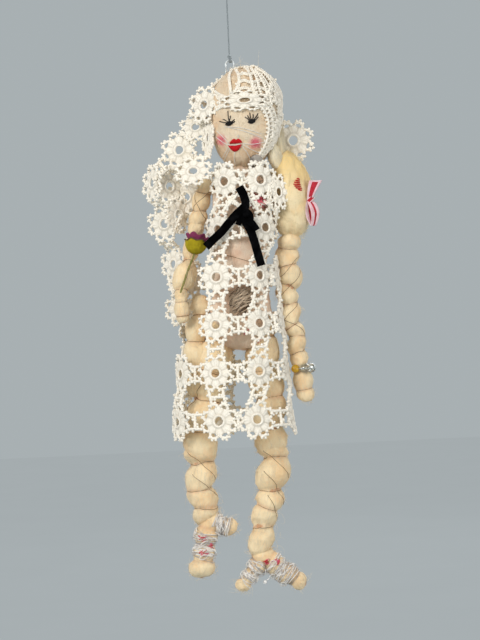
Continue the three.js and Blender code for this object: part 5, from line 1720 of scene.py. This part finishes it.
class DOILY_OT_veil(bpy.types.Operator):
    """Veil over the crown and round the face, with its fall down the right side"""
    bl_idname = "doily_doll.veil"
    bl_label = "Veil"

    def execute(self, context):
        places = veil_places()
        names = list(places)
        links = [(names.index(one), names.index(other))
                 for one, *others in VEIL_LINKS for other in others]
        net = [[on_head(t, a, 1.6)[0] for t, a in row] for row in VEIL_NET]
        bm = lace(list(places.values()), links, net, 9, 0.62)
        for out in (0.0, RIM_STEP):
            rows = [(*on_head(t, a + out)[0], *on_head(t + 0.01, a + out + RIM_STEP, 1.7)[0])
                    for t, a in VEIL_RIM]
            rows = through(rows, 15)
            bars = bmesh.new()
            ladder(bars, [Vector(row[:3]) for row in rows], [Vector(row[3:]) for row in rows],
                   sizes().yarn / MM * 0.8)
            join(bm, bars)
        wide, tall = VEIL_FLAT
        area = min(yarn_area(bm), wide * tall)
        veil = piece("veil_lace", bm, "lace_cotton", "body", ["veil"])
        return {"FINISHED"}


# ---- cord, hook and trims

def twisted(points, spread, pitch=CORD_PITCH, plies=3):
    """Lines of the plies that twist round a path."""
    lines = [[] for _ in range(plies)]
    far = 0.0
    for k, at in enumerate(points):
        if k:
            far += (at - points[k - 1]).length
        across, depth = cross_axes(points[min(k + 1, len(points) - 1)] - points[max(k - 1, 0)])
        for n in range(plies):
            a = TURN * (far / pitch + n / plies)
            lines[n].append(at + (across * cos(a) + depth * sin(a)) * spread)
    return lines


def knot_lines(z, size, spread):
    """A small overhand knot in the cord, drawn tight."""
    line = []
    for k in range(61):
        t = TURN * k / 60
        off = Vector((sin(t) + 2 * sin(2 * t), -sin(3 * t) * 1.3,
                      1.25 * (cos(t) - 2 * cos(2 * t))))
        line.append(Vector((0, 0, z)) + off * (size / 3.2))
    return twisted(line, spread, 5.0)


class DOILY_OT_cord(bpy.types.Operator):
    """Hanging cord, its tied loop, the tie round the hook, and the hook"""
    bl_idname = "doily_doll.cord"
    bl_label = "Cord and hook"

    def execute(self, context):
        thick = sizes().cord / MM
        ply, spread = thick * PLY_SHARE, thick * PLY_SPREAD
        rise = -HOOK_TOP
        top, end = rise - 17.26, rise - 64.75
        path = [Vector((0, 0, mix(top, end, k / 240))) for k in range(241)]
        rope = strands("hanging_cord_twist", twisted(path, spread), ply, "cord_cotton", "hanger",
                       ["hanging_cord"])
        loop = []
        for k in range(91):
            a = -pi / 2 + TURN * (k / 90 * 14 + 0.35) / 14.7
            taper = 1 - 0.45 * max(0.0, -sin(a))
            loop.append(Vector((0, 4.1 * cos(a) * taper, rise - 6.5 + 7.1 * sin(a))))
        lines = twisted(loop, spread) + knot_lines(rise - 14.9, 1.15, spread)
        strands("cord_loop_twist", lines, ply, "cord_cotton", "hanger", ["cord_loop"])
        ring = []
        for k in range(41):
            up, back = polar(1.65, TURN * k / 40)
            ring.append(Vector((0, back, rise - 69.55 + up)))
        second = [at + Vector((1.15, 0, 0.1)) for at in ring]
        lines = twisted(ring, spread) + twisted(second, spread)
        lines += knot_lines(rise - 66.9, 1.1, spread)
        strands("cord_tie_twist", lines, ply, "cord_cotton", "swivel", ["cord_tie"])
        leg = (-36, -30, -20, -10)
        rows = [(-HOOK_BEND, 0, z) for z in leg]
        for k in range(13):
            across, up = polar(HOOK_BEND, pi * k / 12)
            rows.append((-across, 0, -3.9 + up))
        rows += [(HOOK_BEND, 0, z) for z in reversed(leg)]
        bm = tube([(*row, HOOK_WIRE, HOOK_WIRE) for row in through(rows, 90)], 14)
        piece("wire_hook_bend", bm, "steel_wire", "body", ["wire_hook"])
        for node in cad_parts:
            if node.endswith("_wire"):
                redress(node, "steel_wire")
        return {"FINISHED"}


RIBBON_ENDS = {  # x, y from the knot, and z
    "ribbon_upper_end": ((2.7, 0.4, -103.8), (5.6, -0.2, -109.4), (7.2, -0.9, -115.6),
                         (6.4, -1.2, -121.6), (4.6, -0.6, -126.6)),
    "ribbon_left_tail": ((8, -2.2, -118.4), (3.2, -2.5, -122.4), (-1.6, -1.6, -126.6),
                         (-7.6, -1.2, -133), (-13, -0.6, -138.8), (-19.6, -0.1, -144.4),
                         (-25.6, 0.3, -149.8)),
    "ribbon_right_tail": ((3, -1.6, -124.6), (6.2, -1.5, -131), (9.8, -1.3, -137.4),
                          (12.4, -0.8, -145.6), (14.4, -0.2, -154), (17.4, 0.3, -166.6)),
}
RIBBON_TURNS = (  # of the knot, from its middle, with the share of the width
    ((-2.6, -0.2, 5.6, 0.9), (0.4, -2.6, 3.4, 1), (3.2, -2.9, 0.2, 1), (3.4, -0.4, -3.4, 0.9)),
    ((-0.8, -1, -2.4, 0.8), (3.4, -2.6, -4.6, 0.85), (6.6, -1.9, -8, 0.85),
     (8.6, -1.2, -11.4, 0.8)),
    ((-2.2, -0.6, -0.6, 0.7), (-4.6, -1.4, -3.6, 0.7), (-6, -0.6, -6.6, 0.65)),
)
BOW_TAIL = ((58.6, -7.6, -116.5, 0.5), (59.6, -9.6, -111.5, 0.72), (61.6, -9.8, -106, 1),
            (64.2, -9, -100.4, 1.22))
BOW_LOOP = (  # with the way that the ribbon faces
    (58.4, -7.6, -116, 0.55, 0.5, -0.86, 0), (61.2, -9.4, -120.5, 0.9, 0.55, -0.83, 0.1),
    (62.8, -9.4, -127, 1, 0.6, -0.8, 0), (61.2, -7.6, -135, 0.66, 0.4, -0.6, -0.7),
    (60, -6.2, -135.8, 0.6, -0.3, 0.5, -0.8), (58.2, -6.2, -128.5, 0.9, -0.5, 0.86, 0),
    (57.6, -6.6, -121, 0.8, -0.5, 0.86, 0), (58.2, -6.4, -116.4, 0.5, -0.5, 0.86, 0),
)
BOW_TURN = ((-2.2, 1.5, -2.2, 0.8), (-1.2, -1.6, -1.2, 0.75), (1.4, -2.2, 1.0, 0.7),
            (2.6, 0.6, 2.4, 0.8))


def from_knot(knot, rows):
    """Rows of a ribbon that are set out from its knot."""
    return [(*(knot + Vector(off)), share) for *off, share in rows]


class DOILY_OT_ribbon(bpy.types.Operator):
    """Black velvet ribbon tied at the breast"""
    bl_idname = "doily_doll.ribbon"
    bl_label = "Velvet ribbon"

    def execute(self, context):
        width = sizes().ribbon / MM
        for name, rows in RIBBON_ENDS.items():
            path = [(x, RIBBON_KNOT.y + y, z, 1) for x, y, z in rows]
            bm = ribbon_strip(path, width, RIBBON_THICK)
            piece(name + "_velvet", bm, "velvet", "body", [name])
        bm = bmesh.new()
        for rows in RIBBON_TURNS:
            join(bm, ribbon_strip(from_knot(RIBBON_KNOT, rows), width, RIBBON_THICK, 14, 4))
        piece("ribbon_knot_velvet", bm, "velvet", "body", ["ribbon_knot"])
        return {"FINISHED"}


class DOILY_OT_bow(bpy.types.Operator):
    """Red bow with pale edges on the sleeve"""
    bl_idname = "doily_doll.bow"
    bl_label = "Sleeve bow"

    def execute(self, context):
        parts = {
            "bow_tail": ribbon_strip(BOW_TAIL, BOW_WIDE, BOW_THICK, 22, 8, 0.25, (0.35, -0.93, 0),
                                     slant=5.0, tipped=0.09),
            "bow_loop": ribbon_strip(BOW_LOOP, BOW_WIDE, BOW_THICK, 44, 8, 0.37),
            "bow_knot": ribbon_strip(from_knot(BOW_KNOT, BOW_TURN), 5.0, 1.1, 16, 6, 0.2),
        }
        for name, bm in parts.items():
            piece(name + "_ribbon", bm, ["crimson_ribbon", "ribbon_edge"], "left_upper",
                  [name])
        return {"FINISHED"}


CUP = ((0.05, -5.6), (2.6, -5.2), (5.6, -3.6), (7.8, -0.4), (8.5, 4.2), (7.8, 4.4), (7.0, 0.2),
       (5.0, -2.4), (0.05, -4.0))
CUP_RIM = 8.8
PETAL_RING = ((3.4, 2.0), (5.8, 4.4), (7.8, 8.4), (8.5, 9.2), (7.9, 9.6), (5.2, 6.4), (2.8, 3.8))
STEM = ((-34.2, -13.2, -152.6), (-36.6, -15.4, -158), (-40.6, -17, -167),
        (-44, -18.6, -176), (-47.4, -20.4, -184.9))


def frill(a, share=1.0):
    """How the felt cup waves in and out round its rim."""
    return 1 + 0.05 * share * cos(PETALS * a) + 0.03 * cos(3 * PETALS * a)


class DOILY_OT_flower(bpy.types.Operator):
    """Felt flower tied to the right forearm"""
    bl_idname = "doily_doll.flower"
    bl_label = "Flower"

    def execute(self, context):
        tilt = (Matrix.Translation(FLOWER) @ Matrix.Rotation(radians(12), 4, "Y")
                @ Matrix.Rotation(radians(-14), 4, "X"))
        hem = []
        for k in range(61):
            a = TURN * k / 60
            spot = (*polar(CUP_RIM * frill(a), a), 4.5 + 0.6 * cos(PETALS * a))
            hem.append(tilt @ Vector(spot))
        strands("flower_hem_stitches", [hem], 0.9, "dark_fibre", "right_fore")
        bm = lathe(CUP, 60)
        for vert in bm.verts:
            a = round_z(vert)[1]
            rise = smooth((vert.co.z + 4) / 8)
            widen(vert, frill(a, rise), 0.6 * rise * cos(PETALS * a))
        bm.transform(tilt)
        piece("flower_cup_felt", outward(bm), "olive_felt", "right_fore",
              ["flower_cup"])
        bm = lathe(PETAL_RING, 72)
        for vert in bm.verts:
            r, a = round_z(vert)
            out = smooth((r - 2.5) / 4.5)
            widen(vert, 1 + 0.1 * out * cos(PETALS * a), 1.1 * out * sin(PETALS * a + 0.6))
        bm.transform(tilt)
        piece("flower_petals_felt", outward(bm), "mauve_felt", "right_fore",
              ["flower_petals"])
        bm = tube([(*row, 0.78 + 0.1 * sin(k * 1.1), 0.78)
                   for k, row in enumerate(through(STEM, 40))], 10)
        piece("flower_stem_felt", bm, "stem_felt", "right_fore", ["flower_stem"])
        return {"FINISHED"}


BEADS = {  # degrees round the wrist, radius, finish and slot
    "bead_amber": (-118, 3.4, "amber_glass", "amber"),
    "bead_clear_front": (-66, 4.0, "clear_glass", "clear_glass"),
    "bead_clear_side": (-16, 4.0, "clear_glass", "clear_glass"),
}
BUTTON = ((0.05, 0), (5.2, 0), (5.5, 0.5), (5.4, 1.3), (4.9, 1.7), (4.5, 1.5), (4.1, 2.0),
          (3.4, 2.3), (2.9, 2.1), (2.4, 2.55), (1.4, 2.95), (0.05, 3.0))


def bead(radius):
    """A drilled glass bead, its hole along Z."""
    profile = [polar(radius, radians(mix(-72, 72, k / 12))) for k in range(13)]
    high = profile[-1][1] * 0.96
    return lathe(profile + [(BEAD_HOLE, high), (BEAD_HOLE, 0), (BEAD_HOLE, -high)], 28)


class DOILY_OT_trims(bpy.types.Operator):
    """Bracelet with its beads, and the silver button at the neck"""
    bl_idname = "doily_doll.trims"
    bl_label = "Beads and button"

    def execute(self, context):
        wrist = Vector(LEFT_WRIST)
        upright = Matrix.Rotation(pi / 2, 4, "X")
        ring = [wrist + Vector((*polar(BRACELET_REACH, TURN * k / 72), 0)) for k in range(73)]
        strands("bracelet_thread_twist", twisted(ring, 0.2, 3.0, 2), 0.42, "white_thread",
                "left_fore", ["bracelet_thread"])
        for name, (degrees, radius, look, slot) in BEADS.items():
            a = radians(degrees)
            at = wrist + Vector((*polar(BRACELET_REACH, a), 0))
            bm = bead(radius)
            bm.transform(Matrix.Translation(at) @ Matrix.Rotation(a, 4, "Z") @ upright)
            piece(name + "_glass", outward(bm), look, "left_fore", [name])
        bm = lathe(BUTTON, 72)
        for vert in bm.verts:
            r, a = round_z(vert)
            if r > 2.6 and vert.co.z > 0.8:
                vert.co.z += 0.3 * cos(RIBS * a)
        bm.transform(Matrix.Translation((17.6, -16.64, -83.8)) @ upright)
        piece("brooch_silver", outward(bm), "silver", "body", ["brooch"])
        return {"FINISHED"}


# ---- stage

LAMPS = {  # place, power and size
    "key": ((-1.1, -1.5, 0.55), 28.0, 0.9),
    "fill": ((1.5, -1.3, -0.1), 15.0, 1.2),
    "back": ((0.6, 1.5, 0.5), 16.0, 1.2),
}


class DOILY_OT_stage(bpy.types.Operator):
    """Camera, soft lights, pale floor and background"""
    bl_idname = "doily_doll.stage"
    bl_label = "Stage"

    def execute(self, context):
        scene = context.scene
        scene.view_settings.view_transform = "Standard"
        away, tall = sizes().camera_distance, sizes().view_height
        lens = bpy.data.cameras.new("camera")
        lens.sensor_fit = "VERTICAL"
        lens.sensor_height = SENSOR
        lens.lens = SENSOR * away / tall
        lens.clip_start = 0.01
        view = bpy.data.objects.new("camera", lens)
        lean = radians(CAMERA_LEAN)
        right = Vector((cos(lean), 0, -sin(lean)))
        up = Vector((sin(lean), 0, cos(lean)))
        turned = Matrix((right, up, Vector((0, -1, 0)))).transposed().to_4x4()
        view.matrix_world = Matrix.Translation((CAMERA_X, -away, CAMERA_Z)) @ turned
        context.collection.objects.link(view)
        scene.camera = view
        for name, (at, power, size) in LAMPS.items():
            lamp = bpy.data.lights.new(name, "AREA")
            lamp.energy = power
            lamp.size = size
            holder = bpy.data.objects.new(name, lamp)
            holder.location = at
            holder.rotation_euler = (LIT_PLACE - Vector(at)).to_track_quat("-Z", "Y").to_euler()
            context.collection.objects.link(holder)
        scene.world = bpy.data.worlds.new("studio")
        look = Look(scene.world)
        rays = [look.node("ShaderNodeLightPath", {}, {}, out) for out in
                ("Is Camera Ray", "Is Glossy Ray", "Is Transmission Ray")]
        seen = look.node("ShaderNodeMath", {"operation": "MAXIMUM"},
                         {0: rays[0], 1: rays[1] + rays[2]})
        soft = look.node("ShaderNodeBackground", {}, {"Color": (1, 1, 1, 1), "Strength": 0.45})
        hue = linear(colours().backdrop)
        pale = look.node("ShaderNodeBackground", {}, {"Color": hue, "Strength": 1.0})
        look.done(look.node("ShaderNodeMixShader", {}, {0: seen, 1: soft, 2: pale}), "World")
        bm = bmesh.new()
        bmesh.ops.create_grid(bm, x_segments=4, y_segments=4, size=4.0,
                              matrix=Matrix.Translation((0, 0, FLOOR_Z)))
        ground = bpy.data.objects.new("floor", as_mesh(bm, "floor"))
        ground.data.materials.append(finish("pale_paper"))
        context.collection.objects.link(ground)
        return {"FINISHED"}


# ---- settings and panel

def length(name, note, default):
    return FloatProperty(name=name, description=note, default=default, min=0.0, precision=5,
                         unit="LENGTH", subtype="DISTANCE")


def shade(name, note, default):
    return FloatVectorProperty(name=name, description=note, default=default, size=3, min=0.0,
                               max=1.0, subtype="COLOR_GAMMA")


class DoilySizes(bpy.types.PropertyGroup):
    """Lengths of the doll's yarns and trims, and of the view"""
    lace_reach: length("Daisy reach", "From a daisy's middle to its arches' crowns", 0.015)
    eye_hole: length("Daisy eye", "Radius of the open eye of a daisy", 0.0033)
    yarn: length("Lace yarn", "Thickness of the crochet cotton", 0.0021)
    binding_thread: length("Binding thread", "Thickness of thread round the wool", 0.0004)
    fibre: length("Fibre", "Thickness of a loose lock of wool fibre", 0.0002)
    cord: length("Cord", "Thickness of the hanging cord", 0.0012)
    ribbon: length("Ribbon", "Width of the velvet ribbon", 0.0066)
    camera_distance: length("Camera distance", "From the camera to the doll", 1.7)
    view_height: length("View height", "Height of the view at the doll", 0.512)


class DoilyColours(bpy.types.PropertyGroup):
    """Colours of the doll's wools, lace and trims"""
    wool: shade("Wool", "Cream wool of the limbs", (1.0, 0.91, 0.74))
    warm_wool: shade("Warm wool", "Tan clouds in the cream wool", (0.97, 0.83, 0.63))
    # partly the face's own beige, partly painted shade: darkened partway for the shade of the veil
    # over the face
    face: shade("Face", "Wool of the face", (0.92, 0.84, 0.72))
    body_wool: shade("Body wool", "Tan wool of the trunk", (0.97, 0.88, 0.78))
    golden_wool: shade("Golden wool", "Wool of the sleeve", (0.97, 0.89, 0.72))
    cheeks: shade("Cheeks", "Blush of the cheeks", (0.90, 0.40, 0.48))
    lace: shade("Lace", "Crochet cotton", (0.97, 0.945, 0.89))
    lace_shade: shade("Lace shade", "Hollows of the crochet cotton", (0.88, 0.83, 0.74))
    cord: shade("Cord", "Hanging cord", (0.56, 0.59, 0.60))
    binding: shade("Binding thread", "Thread that binds the wool", (0.55, 0.42, 0.28))
    red: shade("Red", "Lips and red stitches", (0.74, 0.05, 0.09))
    olive: shade("Olive", "Cup of the flower", (0.58, 0.52, 0.12))
    mauve: shade("Mauve", "Petals of the flower", (0.47, 0.21, 0.32))
    backdrop: shade("Background", "Floor and background", (0.66, 0.69, 0.70))


STEPS = (DOILY_OT_stage, DOILY_OT_cord, DOILY_OT_head, DOILY_OT_face, DOILY_OT_hair, DOILY_OT_torso,
         DOILY_OT_left_arm, DOILY_OT_right_arm, DOILY_OT_legs, DOILY_OT_dress, DOILY_OT_veil,
         DOILY_OT_ribbon, DOILY_OT_bow, DOILY_OT_flower, DOILY_OT_trims)


class DOILY_PT_pieces(bpy.types.Panel):
    """Steps of the doll and its settings"""
    bl_idname = "DOILY_PT_pieces"
    bl_label = "Doily doll"
    bl_space_type = "VIEW_3D"
    bl_region_type = "UI"
    bl_category = "Doily doll"

    def draw(self, context):
        for step in STEPS:
            self.layout.operator(step.bl_idname)
        for group in (context.scene.doily_sizes, context.scene.doily_colours):
            column = self.layout.column(align=True)
            for key in group.__annotations__:
                column.prop(group, key)


CLASSES = (DoilySizes, DoilyColours, *STEPS, DOILY_PT_pieces)


def register():
    for each in CLASSES:
        bpy.utils.register_class(each)
    bpy.types.Scene.doily_sizes = PointerProperty(type=DoilySizes)
    bpy.types.Scene.doily_colours = PointerProperty(type=DoilyColours)


def unregister():
    del bpy.types.Scene.doily_colours
    del bpy.types.Scene.doily_sizes
    for each in reversed(CLASSES):
        bpy.utils.unregister_class(each)


def main():
    register()
    for step in STEPS:
        getattr(bpy.ops.doily_doll, step.bl_idname.partition(".")[2])()


if __name__ == "__main__":
    main()
